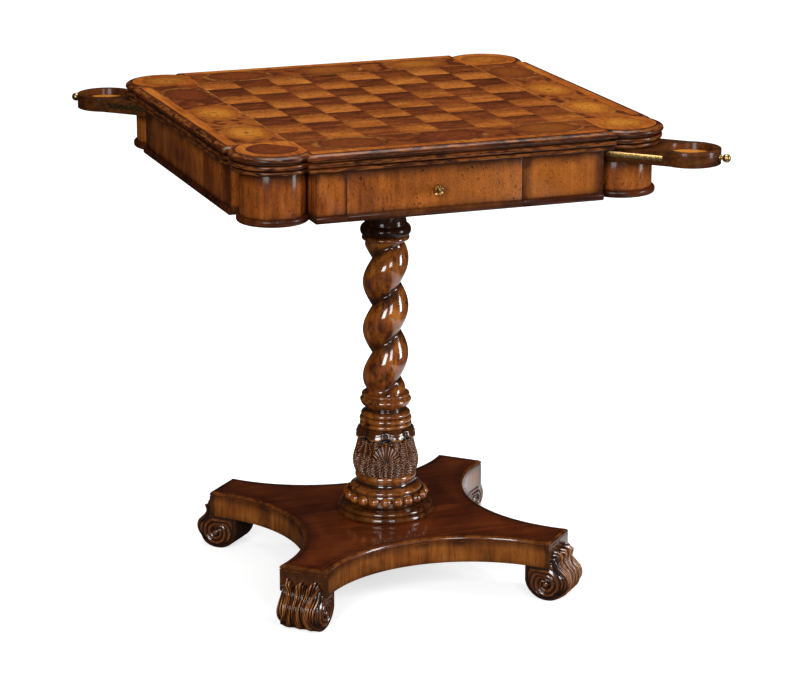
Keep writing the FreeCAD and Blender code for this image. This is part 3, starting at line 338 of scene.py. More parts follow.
def wood(finish, grain, dark, middle, light, fleck=0.6, cloud=0.014, streak=0.16, pore=0.5):
    """Polished wood: broad clouds, streaks along the grain and short dark flecks."""
    stretch = STRETCH[grain]
    clouds = finish.noise(cloud, (1, 1, 1), 2.0, 0.6)
    streaks = finish.noise(streak, stretch, 4.0, 0.3)
    flecks = finish.noise(pore, tuple(max(0.16, part) for part in stretch), 2.0).over(0.58, 0.70)
    tone = clouds * 0.55 + streaks * 0.45
    colour = finish.ramp(tone, (0.36, dark), (0.50, middle), (0.62, light))
    stained = finish.mix(flecks * fleck, colour, tuple(part * 0.42 for part in dark[:3]) + (1.0,))
    return stained, streaks, flecks


def plain_wood(finish, grain, dark, middle, light, fleck, relief):
    """Colour and grain of a wood that carries no other marks."""
    colour, streaks, _ = wood(finish, grain, dark, middle, light, fleck)
    finish.colour(colour)
    finish.bump(streaks, relief)
    return streaks


def squares_of(finish):
    """Number of the chess square, and the place inside it from 0 to 1."""
    side = bpy.context.scene.table_top.square * 1000
    column = (finish.x / side + 8).floor()
    line = (finish.y / side + 8).floor()
    across = finish.x / side + 8 - column
    along = finish.y / side + 8 - line
    return column, line, across, along


def cut_from(finish, luck):
    """Place in the log that a square's veneer is cut from, by its luck."""
    return finish.moved("ADD", finish.point, finish.vector(luck * 900, luck * 500, luck * 300))


def grit(finish, least, most):
    """Fine dirt in the polish of the board."""
    return finish.noise(0.3, (0.8, 0.5, 1), 5.0).over(least, most)


def light_veneer():
    finish = Finish("light_veneer", **SATIN)
    column, line, across, along = squares_of(finish)
    luck = finish.chance(finish.vector(column, line, 1.0))
    place = cut_from(finish, luck)
    speckle = finish.noise(0.35, (0.35, 1, 1), 4.0, 0.0, place)
    figure = finish.noise(0.03, (0.6, 1.6, 1), 2.0, 1.0, place)
    tone = speckle * 0.5 + figure * 0.5 + (luck - 0.5) * 0.10
    colour = finish.ramp(
        tone, (0.38, shade(142, 74, 25)), (0.5, shade(174, 98, 36)), (0.62, shade(192, 118, 50))
    )
    darker_edges = along.over(0.35, 1.0) * 0.55 + abs(across - 0.5).over(0.40, 0.5) * 0.2
    darkening = darker_edges + grit(finish, 0.46, 0.70) * 0.38
    finish.colour(finish.mix(darkening, colour, shade(92, 41, 12)))
    finish.bump(speckle, 0.05)
    return finish


def dark_veneer():
    finish = Finish("dark_veneer", **SATIN)
    column, line, across, along = squares_of(finish)
    luck = finish.chance(finish.vector(column, line, 2.0))
    twin = finish.chance(finish.vector(line, column, 5.0))
    place = cut_from(finish, luck)
    streaks = finish.noise(0.2, (0.12, 1, 1), 4.0, 0.4, place)
    figure = finish.noise(0.04, (0.4, 1.5, 1), 2.0, 1.5, place)
    tone = streaks * 0.5 + figure * 0.5 + (luck - 0.5) * 0.14
    colour = finish.ramp(
        tone, (0.36, shade(74, 32, 12)), (0.5, shade(112, 52, 19)), (0.64, shade(142, 73, 28))
    )
    reach = ((across - 0.3 - twin * 0.4) * 2.2) ** 2.0 + ((along - 0.5) * 4.0) ** 2.0
    rings = (reach * 22 + figure * 6).wave() * 0.5 + 0.5
    eye = (1.0 - reach.over(0.2, 0.9)) * luck.over(0.6, 0.75)
    eyed = finish.mix(eye * rings * 0.55, colour, shade(160, 90, 36))
    darkening = along.over(0.45, 1.0) * 0.5 + grit(finish, 0.46, 0.70) * 0.4
    finish.colour(finish.mix(darkening, eyed, shade(46, 18, 7)))
    finish.bump(streaks, 0.05)
    return finish


def pale_line():
    finish = Finish("pale_line", **SATIN)
    speckle = finish.noise(0.2, (1, 1, 1), 3.0)
    finish.colour(finish.ramp(speckle, (0.35, shade(140, 80, 30)), (0.65, shade(192, 128, 58))))
    return finish


def oyster_veneer():
    """Cross-cut branch: rings about a gold heart, pale sapwood, dark corners."""
    finish = Finish("oyster_veneer", **SATIN)
    across = finish.carved("across")
    along = finish.carved("along")
    redness = finish.carved("redness")
    wobble = finish.noise(0.03, (1, 1, 1), 3.0, 1.0) - 0.5
    mottle = finish.noise(0.12, (1, 1, 1), 4.0, 0.5)
    reach = (across ** 2.0 + along ** 2.0) ** 0.5 + wobble * 0.28
    rings = (reach * 30 + wobble * 18).wave() * 0.5 + 0.5
    gold = finish.ramp(
        reach, (0.0, shade(110, 56, 18)), (0.10, shade(210, 138, 46)), (0.5, shade(200, 122, 38)),
        (0.95, shade(156, 82, 25)),
    )
    red = finish.ramp(
        reach, (0.0, shade(96, 42, 16)), (0.35, shade(114, 50, 19)), (0.75, shade(96, 41, 16)),
        (1.0, shade(76, 31, 12)),
    )
    heart = finish.mix(redness, gold, red)
    growth = finish.mix(redness, shade(96, 46, 17), shade(150, 80, 31))
    ringed = finish.mix(rings * mottle.over(0.35, 0.65) * 0.45, heart, growth)
    patchy = finish.noise(0.018, (1, 1, 1), 2.0).over(0.46, 0.58)
    sapwood = reach.over(0.88, 0.96) * (1.0 - reach.over(1.0, 1.1)) * mottle.over(0.36, 0.60) * patchy
    wedge = finish.noise(0.02, (1, 1, 1), 3.0, 1.5).over(0.46, 0.58)
    ground = finish.mix(wedge, finish.mix(redness, shade(160, 86, 31), shade(124, 61, 22)), shade(92, 40, 15))
    outside = finish.mix(reach.over(0.98, 1.08), ringed, ground)
    edged = finish.mix(sapwood * 0.5, outside, shade(200, 134, 62))
    darkening = mottle.over(0.5, 0.8) * 0.25 + grit(finish, 0.48, 0.72) * 0.36
    finish.colour(finish.mix(darkening, edged, shade(72, 31, 11)))
    finish.bump(rings, 0.03)
    return finish


def crossband_veneer():
    finish = Finish("crossband_veneer", **SATIN)
    plain_wood(finish, "y", shade(132, 64, 20), shade(168, 89, 29), shade(190, 112, 40), 0.35, 0.05)
    return finish


def dark_moulding():
    """Ebonised walnut rolls, rubbed through to gold on their crests."""
    finish = Finish("dark_moulding", **{**GLOSS, "coat_weight": 0.3, "coat_roughness": 0.2})
    colour, streaks, _ = wood(finish, "x", shade(38, 15, 6), shade(66, 28, 10), shade(98, 45, 16), 0.3)
    speckle = finish.noise(0.4, (0.14, 0.14, 1), 5.0, 0.3)
    rubbed = finish.carved().over(0.55, 1.0) * speckle.over(0.40, 0.62)
    finish.colour(finish.mix(rubbed * 0.6, colour, shade(168, 98, 40)))
    finish.roughness(0.36 + streaks * 0.16)
    finish.bump(streaks, 0.03)
    return finish


def frieze_walnut():
    """Golden walnut with upright flecks, lighter towards the right as painted light, and dark at the edges of
    each panel, at the top as painted shadow under the table top's edge.
    """
    finish = Finish("frieze_walnut", **POLISH)
    colour, streaks, flecks = wood(
        finish, "z", shade(114, 54, 18), shade(154, 80, 27), shade(186, 105, 39), 0.5, 0.014, 0.13, 0.42
    )
    rail_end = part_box("front_rails")[1].x * 1000
    # Painted light: the walnut grows lighter from the left end towards the right, where the lamps fall more
    # strongly, and fades back just before the rails' right end.
    painted_light_right = finish.x.over(-rail_end, 60.0) * (1.0 - finish.x.over(rail_end - 18.0, rail_end - 8.0)) * 0.4
    colour = finish.mix(painted_light_right, colour, shade(206, 122, 46))
    speckle = finish.noise(0.45, (1, 1, 0.6), 4.0).over(0.44, 0.70)
    worm = finish.noise(0.012, (1, 1, 0.6), 2.0).over(0.46, 0.60)
    marks = finish.noise(0.30, (1, 1, 0.45), 4.0, 1.0).over(0.61, 0.66) * worm
    generated = finish.add("ShaderNodeTexCoord", {}, {}, "Generated")
    ends = [abs(part - 0.5) for part in finish.split(generated)]
    ragged = finish.noise(0.045, (1, 1, 0.6), 5.0) - 0.5
    sides = ends[0].least(ends[1])
    # Darker towards the top, the bottom and the ends of each panel; the darkening at the top is painted
    # shadow under the table top's edge.
    darker_edges = (ends[2] + ragged * 0.24).over(0.20, 0.5) * 0.85 + (sides + ragged * 0.10).over(0.36, 0.5) * 0.75
    darkened = finish.mix(darker_edges.least(0.88), colour, shade(52, 22, 8))
    marked = finish.mix(marks * 0.85 + speckle * 0.36, darkened, shade(30, 12, 5))
    bead_top = heights("frieze_bead")[1]
    bead = 1.0 - finish.z.over(bead_top, bead_top + 3.0)
    finish.colour(finish.mix(bead * 0.5, marked, shade(50, 21, 7)))
    finish.roughness(0.42 + streaks * 0.16)
    finish.bump(streaks - flecks * 0.4 - marks, 0.06)
    return finish


def ground_wood():
    finish = Finish("ground_wood", roughness=0.6)
    plain_wood(finish, "x", shade(92, 52, 26), shade(134, 82, 44), shade(166, 108, 62), 0.4, 0.15)
    return finish


def brass():
    finish = Finish("brass", metallic=1.0)
    tarnish = finish.noise(0.4, (1, 1, 1), 4.0)
    finish.colour(finish.ramp(tarnish, (0.3, shade(140, 104, 56)), (0.62, shade(206, 174, 112))))
    finish.roughness(0.18 + tarnish * 0.3)
    finish.bump(tarnish, 0.1)
    return finish


def slide_wood():
    finish = Finish("slide_wood", **{**GLOSS, "coat_weight": 0.22})
    streaks = plain_wood(finish, "x", shade(46, 22, 7), shade(76, 39, 12), shade(106, 58, 20), 0.3, 0.04)
    finish.roughness(0.36 + streaks * 0.15)
    return finish


def cup_veneer():
    finish = Finish("cup_veneer", **POLISH)
    plain_wood(finish, "x", shade(176, 98, 24), shade(220, 134, 38), shade(238, 164, 62), 0.2, 0.05)
    return finish


def column_walnut():
    """Mottled glossy walnut, gold where the turning is rubbed, dark in the quirks as painted shade, and very
    dark at the capital's upper ring as painted shadow of the table top.
    """
    finish = Finish("column_walnut", **{**GLOSS, "coat_roughness": 0.1, "coat_ior": 1.9})
    colour, streaks, flecks = wood(
        finish, "z", shade(92, 42, 13), shade(158, 84, 27), shade(202, 122, 44), 0.7, 0.03, 0.10, 0.3
    )
    speckle = finish.noise(0.12, (1, 1, 0.6), 4.0, 0.4)
    crest = finish.carved()
    hollow = 1.0 - crest.over(0.0, 0.42)
    rubbed = crest.over(0.72, 1.0) * speckle.over(0.42, 0.62)
    mottle = finish.noise(0.25, (1, 1, 0.8), 4.0, 0.6).over(0.50, 0.66)
    blotch = finish.noise(0.06, (1, 1, 0.8), 5.0, 0.8).over(0.50, 0.64) * (0.35 + mottle * 0.65)
    # Painted shadow: the capital's upper ring is painted very dark, with less coat, where the table top's
    # shadow falls.
    neck = heights("column_capital")[0]
    painted_table_shadow = finish.between((neck + 7.0, neck + 9.0), (neck + 34.0, neck + 44.0))
    foot, top = heights("base_ring")
    base = finish.between((foot - 1.0, foot), (top + 0.5, top + 2.0))
    foot, top = heights("pearl_ring")
    pearls = finish.between((foot + 1.0, foot + 2.5), (top, top + 2.0))
    foot, top = heights("twist_shaft")
    turned = 1.0 - finish.between((foot - 3.5, foot + 2.5), (top - 3.0, top + 3.0))
    smears = (blotch * 0.75 + mottle * 0.15 + turned * 0.3) * (1.0 - pearls * 0.9)
    # The darkening holds painted shade in the quirks and the painted table shadow, besides smears and the
    # darker base ring.
    darkening = hollow * 0.8 + smears * (1.0 - base * 0.8) + painted_table_shadow + base * 0.6
    shaded = finish.mix(darkening.least(0.92), colour, shade(32, 13, 5))
    finish.colour(finish.mix(rubbed * (1.0 - painted_table_shadow) * (0.5 - base * 0.4), shaded, shade(190, 116, 50)))
    finish.roughness(0.34 + streaks * 0.16)
    finish.feed(finish.surface.inputs["Coat Weight"], 1.0 - painted_table_shadow * 0.7)
    finish.bump(streaks - flecks * 0.3, 0.03)
    return finish


def carved_walnut():
    """Carving dark in its recesses, as stain and painted shade, and gold on its ridges, as rubbing and
    painted highlight.
    """
    finish = Finish("carved_walnut", **{**GLOSS, "coat_roughness": 0.1, "coat_ior": 1.9})
    crest = finish.carved()
    speckle = finish.noise(0.3, (1, 1, 0.5), 4.0)
    tone = crest + (speckle - 0.5) * 0.35
    # The relief picks the colour: very dark in the recesses as painted shade, gold on the crests as painted
    # highlight.
    colour = finish.ramp(
        tone, (0.10, shade(22, 10, 4)), (0.42, shade(58, 28, 11)), (0.70, shade(104, 55, 22)),
        (0.95, shade(194, 126, 64)),
    )
    finish.colour(colour)
    finish.roughness(0.32 + speckle * 0.16)
    finish.bump(speckle, 0.05)
    return finish


def platform_walnut():
    finish = Finish("platform_walnut", **GLOSS)
    level = finish.split(finish.add("ShaderNodeNewGeometry", {}, {}, "Normal"))[2]
    top, streaks, _ = wood(
        finish, "x", shade(88, 35, 12), shade(122, 53, 18), shade(148, 70, 25), 0.35, 0.012, 0.1
    )
    side, upright, flecks = wood(
        finish, "z", shade(120, 62, 22), shade(164, 92, 34), shade(190, 114, 46), 0.6, 0.014, 0.12, 0.34
    )
    speckle = finish.noise(0.08, (1, 1, 1), 4.0)
    rubbed = finish.carved().over(0.5, 0.95) * speckle.over(0.4, 0.62)
    blotch = finish.noise(0.016, (1, 1, 0.3), 4.0, 0.8).over(0.50, 0.64) * 0.4
    reach = bpy.context.scene.table_base.arm_end * 1000 * math.sqrt(2)
    end = (abs(finish.x) + abs(finish.y)).over(reach - 17.5, reach - 7.5) * 0.75
    foot, head = heights("platform_core")
    below = 1.0 - finish.z.over(foot - 2.0, foot + 10.0)
    above = finish.z.over(head - 11.0, head + 1.0)
    stain = below * 0.45 + above * 0.55 + blotch + end
    darkened = finish.mix(stain.least(0.85), side, shade(46, 20, 7))
    edged = finish.mix(finish.carved("stain") * 0.6, top, shade(40, 16, 6))
    colour = finish.mix(level.over(0.6, 0.9), darkened, edged)
    finish.colour(finish.mix(rubbed * 0.45, colour, shade(170, 98, 40)))
    finish.roughness(0.36 + streaks * 0.16)
    finish.bump(upright - flecks * 0.3, 0.03)
    return finish


def steel():
    finish = Finish("steel", metallic=1.0)
    brushed = finish.noise(0.5, (1, 1, 0.1), 3.0)
    finish.colour(finish.ramp(brushed, (0.3, shade(110, 110, 112)), (0.7, shade(176, 176, 178))))
    finish.roughness(0.3 + brushed * 0.2)
    return finish


MATERIALS = (
    light_veneer, dark_veneer, pale_line, oyster_veneer, crossband_veneer, dark_moulding, frieze_walnut,
    ground_wood, brass, slide_wood, cup_veneer, column_walnut, carved_walnut, platform_walnut, steel,
)


def make_finishes():
    for build in MATERIALS:
        FINISHES[build.__name__] = build()


class Shape:
    """Points, faces and named point values gathered for one mesh, in metres."""

    def __init__(self):
        self.points = []
        self.faces = []
        self.values = {}

    def grid(self, points, closed=True, caps=(False, False), **values):
        """Add a net of points, row by row; a closed row joins its end to its start."""
        points = np.asarray(points, float)
        rows, columns = points.shape[:2]
        first = len(self.points)
        numbers = first + np.arange(rows * columns).reshape(rows, columns)
        right = np.roll(numbers, -1, axis=1)
        last = columns if closed else columns - 1
        corners = (numbers[:-1], right[:-1], right[1:], numbers[1:])
        self.faces += np.stack(corners, axis=-1)[:, :last].reshape(-1, 4).tolist()
        if caps[0]:
            self.faces.append(numbers[0, ::-1].tolist())
        if caps[1]:
            self.faces.append(numbers[-1].tolist())
        self.points += points.reshape(-1, 3).tolist()
        for name, value in values.items():
            spread = np.broadcast_to(np.asarray(value, float), (rows, columns))
            self.values.setdefault(name, []).extend(spread.reshape(-1).tolist())

    def mesh(self, name, crease=38):
        mesh = bpy.data.meshes.new(name)
        mesh.from_pydata(self.points, [], self.faces)
        for label, values in self.values.items():
            mesh.attributes.new(label, "FLOAT", "POINT").data.foreach_set("value", values)
        build = bmesh.new()
        build.from_mesh(mesh)
        bmesh.ops.recalc_face_normals(build, faces=build.faces)
        build.to_mesh(mesh)
        build.free()
        return smoothed(mesh, crease)


def smoothed(mesh, crease):
    """Shade a mesh smooth between edges sharper than the crease, by its own faces alone."""
    if "custom_normal" in mesh.attributes:
        mesh.attributes.remove(mesh.attributes["custom_normal"])
    mesh.shade_smooth()
    mesh.set_sharp_from_angle(angle=math.radians(crease))
    return mesh


def piece(mesh, node):
    """Show a mesh in place of a CAD node, on the same body and with the same finish."""
    thing = bpy.data.objects.new(mesh.name, mesh)
    bpy.context.scene.collection.objects.link(thing)
    slot = RECORD_SLOTS[node]
    mesh.materials.clear()
    mesh.materials.append(FINISHES[slot].material)
    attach(thing, NODE_BODIES[node])
    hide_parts(node)


def solids_of(node):
    """The separate solids of a CAD node, each as a mesh builder."""
    whole = bmesh.new()
    whole.from_mesh(frame["nodes"][node].data)
    bmesh.ops.remove_doubles(whole, verts=whole.verts, dist=1e-6)
    whole.verts.index_update()
    left = set(whole.verts)
    while left:
        reached = set()
        edge = [min(left, key=lambda corner: corner.index)]
        left.discard(edge[0])
        while edge:
            corner = edge.pop()
            reached.add(corner)
            near = {link.other_vert(corner) for link in corner.link_edges} & left
            left -= near
            edge.extend(near)
        solid = whole.copy()
        solid.verts.index_update()
        kept = {corner.index for corner in reached}
        bmesh.ops.delete(solid, geom=[v for v in solid.verts if v.index not in kept], context="VERTS")
        yield solid
    whole.free()


def soften(node, width, crease=35):
    """Show each solid of a CAD node with its sharp edges eased."""
    for number, solid in enumerate(solids_of(node), start=1):
        bmesh.ops.dissolve_limit(
            solid, angle_limit=math.radians(0.5), verts=solid.verts, edges=solid.edges, delimit={"NORMAL"}
        )
        sharp = [e for e in solid.edges if e.is_manifold and e.calc_face_angle(0.0) > math.radians(crease)]
        bmesh.ops.bevel(
            solid, geom=sharp, offset=width, segments=2, profile=0.5, affect="EDGES", clamp_overlap=True
        )
        bmesh.ops.recalc_face_normals(solid, faces=solid.faces)
        mesh = bpy.data.meshes.new(f"{node}_{number}")
        solid.to_mesh(mesh)
        solid.free()
        piece(smoothed(mesh, crease), node)


def finish_node(*nodes):
    """Give CAD nodes that are shown as they are their finish."""
    for node in nodes:
        thing = frame["nodes"][node]
        for slot in thing.material_slots:
            slot.link = "OBJECT"
            slot.material = FINISHES[RECORD_SLOTS[node]].material


def turned_about(points, angle):
    """Turn points about the table's axis."""
    cosine, sine = math.cos(angle), math.sin(angle)
    points = np.asarray(points, float)
    x, y, z = points[..., 0], points[..., 1], points[..., 2]
    return np.stack((x * cosine - y * sine, x * sine + y * cosine, z), axis=-1)


def round_axis(radius, angle, height):
    """Net of points at a radius and an angle about the table's axis."""
    return np.stack((radius * np.cos(angle), radius * np.sin(angle), height + 0 * angle), axis=-1)


def lathe(profile):
    """Net of points for a (radius, height) profile turned about the table's axis."""
    profile = np.asarray(profile, float)
    angle = np.linspace(0, 2 * math.pi, 128, endpoint=False)
    return round_axis(profile[:, :1], angle, profile[:, 1:])


def half_round(radius, low, high, swell):
    """Profile of a half-round ring that stands out by its swell."""
    turn = np.linspace(-math.pi / 2, math.pi / 2, 14)
    middle, half = (low + high) / 2, (high - low) / 2
    return [(radius - swell + swell * math.cos(a), middle + half * math.sin(a)) for a in turn]


def through(points):
    """Smooth curve through (radius, height) points."""
    points = np.asarray(points, float)
    ends = np.vstack((2 * points[0] - points[1], points, 2 * points[-1] - points[-2]))
    curve = []
    for a, b, c, d in zip(ends, ends[1:], ends[2:], ends[3:]):
        for t in np.linspace(0, 1, 10, endpoint=False):
            bend = (2 * a - 5 * b + 4 * c - d) * t * t + (3 * b - 3 * c + d - a) * t ** 3
            curve.append(0.5 * (2 * b + (c - a) * t + bend))
    return [tuple(point) for point in curve] + [tuple(points[-1])]


# Points on each side that a crest is measured against, and the least height that counts as one.
NEAR_POINTS = 22
LEAST_CREST = 0.002


def turned_piece(node, core, *runs):
    """Turn a piece of the column, with its crests marked by how far they stand out from what is near.

    Runs hold points as radius and share of the piece's height; the core is the radius of its flat ends.
    """
    low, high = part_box(node)
    profile = np.array([(core, 0.0), *(point for run in runs for point in run), (core, 1.0)])
    profile[:, 1] = low.z + profile[:, 1] * (high.z - low.z)
    radius = profile[:, 0]
    about = [radius[max(0, n - NEAR_POINTS):n + NEAR_POINTS + 1] for n in range(len(radius))]
    least = np.array([near.min() for near in about])
    most = np.array([near.max() for near in about])
    # Low crest marks paint the quirks dark in the column's finish, as painted shade.
    crest = np.clip((radius - least) / np.maximum(most - least, LEAST_CREST), 0, 1)
    shape = Shape()
    shape.grid(lathe(profile), caps=(True, True), relief=crest[:, None])
    piece(shape.mesh(f"{node}_turned"), node)


def top_plan(inset):
    """Plan of the table top, set in by a distance, as a ring of points."""
    top = bpy.context.scene.table_top
    side, half = top.half - inset, top.straight_half - inset
    radius, centre = top.lobe_radius - inset, top.lobe_centre
    meet = centre + math.sqrt(radius ** 2 - (centre - half) ** 2)
    ring = [(x, -side) for x in np.linspace(-half, half, 40)]
    ring += [(half, y) for y in np.linspace(-side, -meet, 4)[1:-1]]
    start = math.atan2(centre - meet, half - centre)
    end = math.atan2(centre - half, meet - centre)
    for angle in np.linspace(start, end, 48):
        ring.append((centre + radius * math.cos(angle), -centre + radius * math.sin(angle)))
    ring += [(x, -half) for x in np.linspace(meet, side, 4)[1:-1]]
    return four_turns(ring)


def four_turns(ring):
    """Repeat a quarter of a plan for the four sides."""
    quarter = np.array([(x, y, 0.0) for x, y in ring])
    return np.vstack([turned_about(quarter, turn * math.pi / 2) for turn in range(4)])


def platform_plan(inset):
    """Plan of the platform, set in by a distance, as a ring of points."""
    base = bpy.context.scene.table_base
    root = math.sqrt(0.5)
    near, far = (base.arm_end - base.arm_half) * root, (base.arm_end + base.arm_half) * root
    rise = far - base.waist
    radius = (near ** 2 + rise ** 2) / (2 * rise)
    centre = base.waist + radius
    end = base.arm_end - inset
    lean = centre * root
    half = lean - math.sqrt(lean ** 2 - end ** 2 - centre ** 2 + 2 * end * lean + (radius + inset) ** 2)
    corner = ((end - half) * root, (end + half) * root)
    swing = math.asin(corner[0] / (radius + inset))
    ring = []
    for angle in np.linspace(-swing, swing, 64):
        ring.append(((radius + inset) * math.sin(angle), (radius + inset) * math.cos(angle) - centre))
    other = (corner[1], -corner[0])
    for step in np.linspace(0, 1, 10)[1:-1]:
        ring.append((corner[0] + (other[0] - corner[0]) * step, -corner[1] + (other[1] + corner[1]) * step))
    return four_turns(ring)


def swept(shape, plan, profile, caps=(False, False), crest=None):
    """Add an (inset, height) profile carried round a plan."""
    rows = []
    for inset, height in profile:
        ring = plan(inset)
        ring[:, 2] = height
        rows.append(ring)
    marks = np.zeros(len(profile)) if crest is None else np.asarray(crest, float)
    shape.grid(rows, caps=caps, relief=marks[:, None])


def rounded_edge(inset, low, high, round_by, inner):
    """Profile of a board's edge with both corners rounded, and how far each point stands out."""
    turn = np.linspace(0, math.pi / 2, 9)
    profile = [(inner, low)]
    profile += [(inset + round_by * (1 - math.sin(a)), low + round_by * (1 - math.cos(a))) for a in turn]
    profile += [(inset + round_by * (1 - math.cos(a)), high - round_by * (1 - math.sin(a))) for a in turn]
    profile.append((inner, high))
    crest = [0] + [math.sin(a) for a in turn] + [math.cos(a) for a in turn] + [0]
    return profile, crest


def wrap(value, period):
    """Distance to the nearest repeat."""
    return (value + period / 2) % period - period / 2


def smooth_step(value, low, high):
    part = np.clip((value - low) / (high - low), 0, 1)
    return part * part * (3 - 2 * part)


# How red an oyster is, from gold to red: the border's by sides from the front, the lobes' from the far right.
BORDER_REDNESS = ((0.95, 1.0, 0.8), (0.1, 0.2, 0.85), (0.5, 0.7, 0.95), (1.0, 0.15, 0.1))
LOBE_REDNESS = (0.45, 0.45, 1.0, 0.15)


def make_playing_surface():
    """Squares, line, border oysters, lobe oysters and crossbanding."""
    finish_node("light_squares", "dark_squares", "board_stringing", "crossbanding")
    top = bpy.context.scene.table_top
    low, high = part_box("oyster_panels")
    inner = 4 * top.square + top.line_width
    span = 2 * min(4 * top.square, top.straight_half - top.nosing_flat) / top.border_panels
    oval = 1.4  # a panel's length over its oyster's
    panels = Shape()
    for side in range(4):
        for place in range(top.border_panels):
            x = span * (place - top.border_panels / 2 + np.array((0, 1, 1, 0)))
            y = -inner - top.border_width * np.array((1, 1, 0, 0))
            rows = [np.stack((x, y, np.full(4, z)), axis=-1) for z in (low.z, high.z)]
            values = {"along": [(-oval, oval, oval, -oval)] * 2, "across": [(-1, -1, 1, 1)] * 2}
            points = turned_about(rows, side * math.pi / 2)
            panels.grid(points, caps=(True, True), redness=BORDER_REDNESS[side][place], **values)
    piece(panels.mesh("oyster_panels_cut"), "oyster_panels")

    for number, solid in enumerate(solids_of("corner_oysters"), start=1):
        mesh = bpy.data.meshes.new(f"corner_oysters_{number}")
        solid.to_mesh(mesh)
        solid.free()
        places = np.array([corner.co for corner in mesh.vertices])
        quarter = int(math.atan2(places[:, 1].mean(), places[:, 0].mean()) // (math.pi / 2)) % 4
        centre = turned_about((top.lobe_centre, top.lobe_centre, 0.0), quarter * math.pi / 2)
        spread = (places - centre) / (1.15 * top.oyster_radius)
        redness = np.full(len(places), LOBE_REDNESS[quarter])
        marks = {"along": spread[:, 0], "across": spread[:, 1], "redness": redness}
        for name, values in marks.items():
            mesh.attributes.new(name, "FLOAT", "POINT").data.foreach_set("value", values)
        piece(smoothed(mesh, 35), "corner_oysters")


def make_edge_mouldings():
    """Thumb nosing that slopes down from the veneer, and the two beads under it."""
    top = bpy.context.scene.table_top
    low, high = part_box("edge_nosing")
    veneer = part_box("crossbanding")[0].z
    belly = low.z + 0.38 * (high.z - low.z)
    undercut = 0.003
    under = np.linspace(0, math.pi / 2, 6)
    over = np.linspace(0, math.pi / 2, 14)
    slope = top.nosing_flat
    profile = [(top.nosing_inner, low.z)]
    profile += [(undercut * (1 - math.sin(a)), belly - (belly - low.z) * math.cos(a)) for a in under]
    profile += [(slope * (1 - math.cos(a)), belly + (high.z - belly) * math.sin(a)) for a in over[1:]]
    profile += [(top.nosing_flat, veneer), (top.nosing_inner, veneer), (top.nosing_inner, low.z)]
    crest = [0.0] + [0.8 * math.sin(a) for a in under] + [math.sin(2 * a) ** 0.5 for a in over[1:-1]]
    crest += [0.0] * 4
    nosing = Shape()
    swept(nosing, top_plan, profile, crest=crest)
    piece(nosing.mesh("edge_nosing_run", 50), "edge_nosing")

    low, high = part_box("top_beads")
    beads = Shape()
    upper_height = 0.008
    split = high.z - upper_height
    for inset, bottom, crown in (
        (top.upper_bead_inset, split, high.z),
        (top.lower_bead_inset, low.z, split - top.bead_gap),
    ):
        profile, crest = rounded_edge(inset, bottom, crown, (crown - bottom) * 0.42, top.under_inset)
        profile.append(profile[0])
        crest.append(0)
        swept(beads, top_plan, profile, crest=crest)
    piece(beads.mesh("top_beads_run", 50), "top_beads")


def make_frieze():
    """Rails, returns, corner posts and the bead round their foot."""
    for node in ("left_rail", "right_rail", "front_rails", "back_rails", "frieze_returns"):
        soften(node, 0.0007)
    for node in ("far_right_post", "far_left_post", "near_left_post", "near_right_post"):
        soften(node, 0.0006)
    soften("frieze_bead", 0.0003)


ROSETTE_STEPS = (
    (0.30, 0.0), (0.30, 0.45), (0.62, 0.55), (0.96, 0.62), (1.0, 0.72), (0.9, 0.82), (0.66, 0.78),
    (0.48, 0.86), (0.36, 0.95), (0.2, 1.0), (0.04, 1.0),
)


def rosette(seat, reach, depth, facing):
    """Cast flower with eight petals on a stem; its steps are shares of its reach and of its depth."""
    angle = np.linspace(0, 2 * math.pi, 96, endpoint=False)
    petal = np.abs(np.cos(4 * angle)) ** 0.6
    rows = []
    for share_out, share_along in ROSETTE_STEPS:
        bite = smooth_step(share_out, 0.5, 1.0) * (1 - petal)
        radius = reach * share_out * (1 - 0.16 * bite)
        forward = depth * (share_along - 0.05 * bite)
        rows.append(np.stack((radius * np.cos(angle), -forward + 0 * angle, radius * np.sin(angle)), axis=-1))
    shape = Shape()
    shape.grid(turned_about(np.array(rows) + seat, facing), caps=(True, True), relief=petal)
    return shape


def make_drawers():
    """Both drawers with their boxes and cast knobs."""
    for label, facing in (("front_drawer", 0.0), ("back_drawer", math.pi)):
        soften(f"{label}_front", 0.0008)
        for part in ("sides", "back", "floor"):
            soften(f"{label}_{part}", 0.0004)
        low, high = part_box("front_drawer_knob")
        seat = ((low.x + high.x) / 2, high.y, (low.z + high.z) / 2)
        shape = rosette(seat, (high.x - low.x) / 2, high.y - low.y, facing)
        piece(shape.mesh(f"{label}_rosette", 30), f"{label}_knob")


def make_cup_slides():
    """Arms with round recesses, brass strips, recess discs and knobs."""
    for label in ("right_slide", "left_slide"):
        soften(f"{label}_arm", 0.0012)
        soften(f"{label}_strips", 0.0003)
        soften(f"{label}_liner", 0.0003)
        soften(f"{label}_knob", 0.0002, 50)


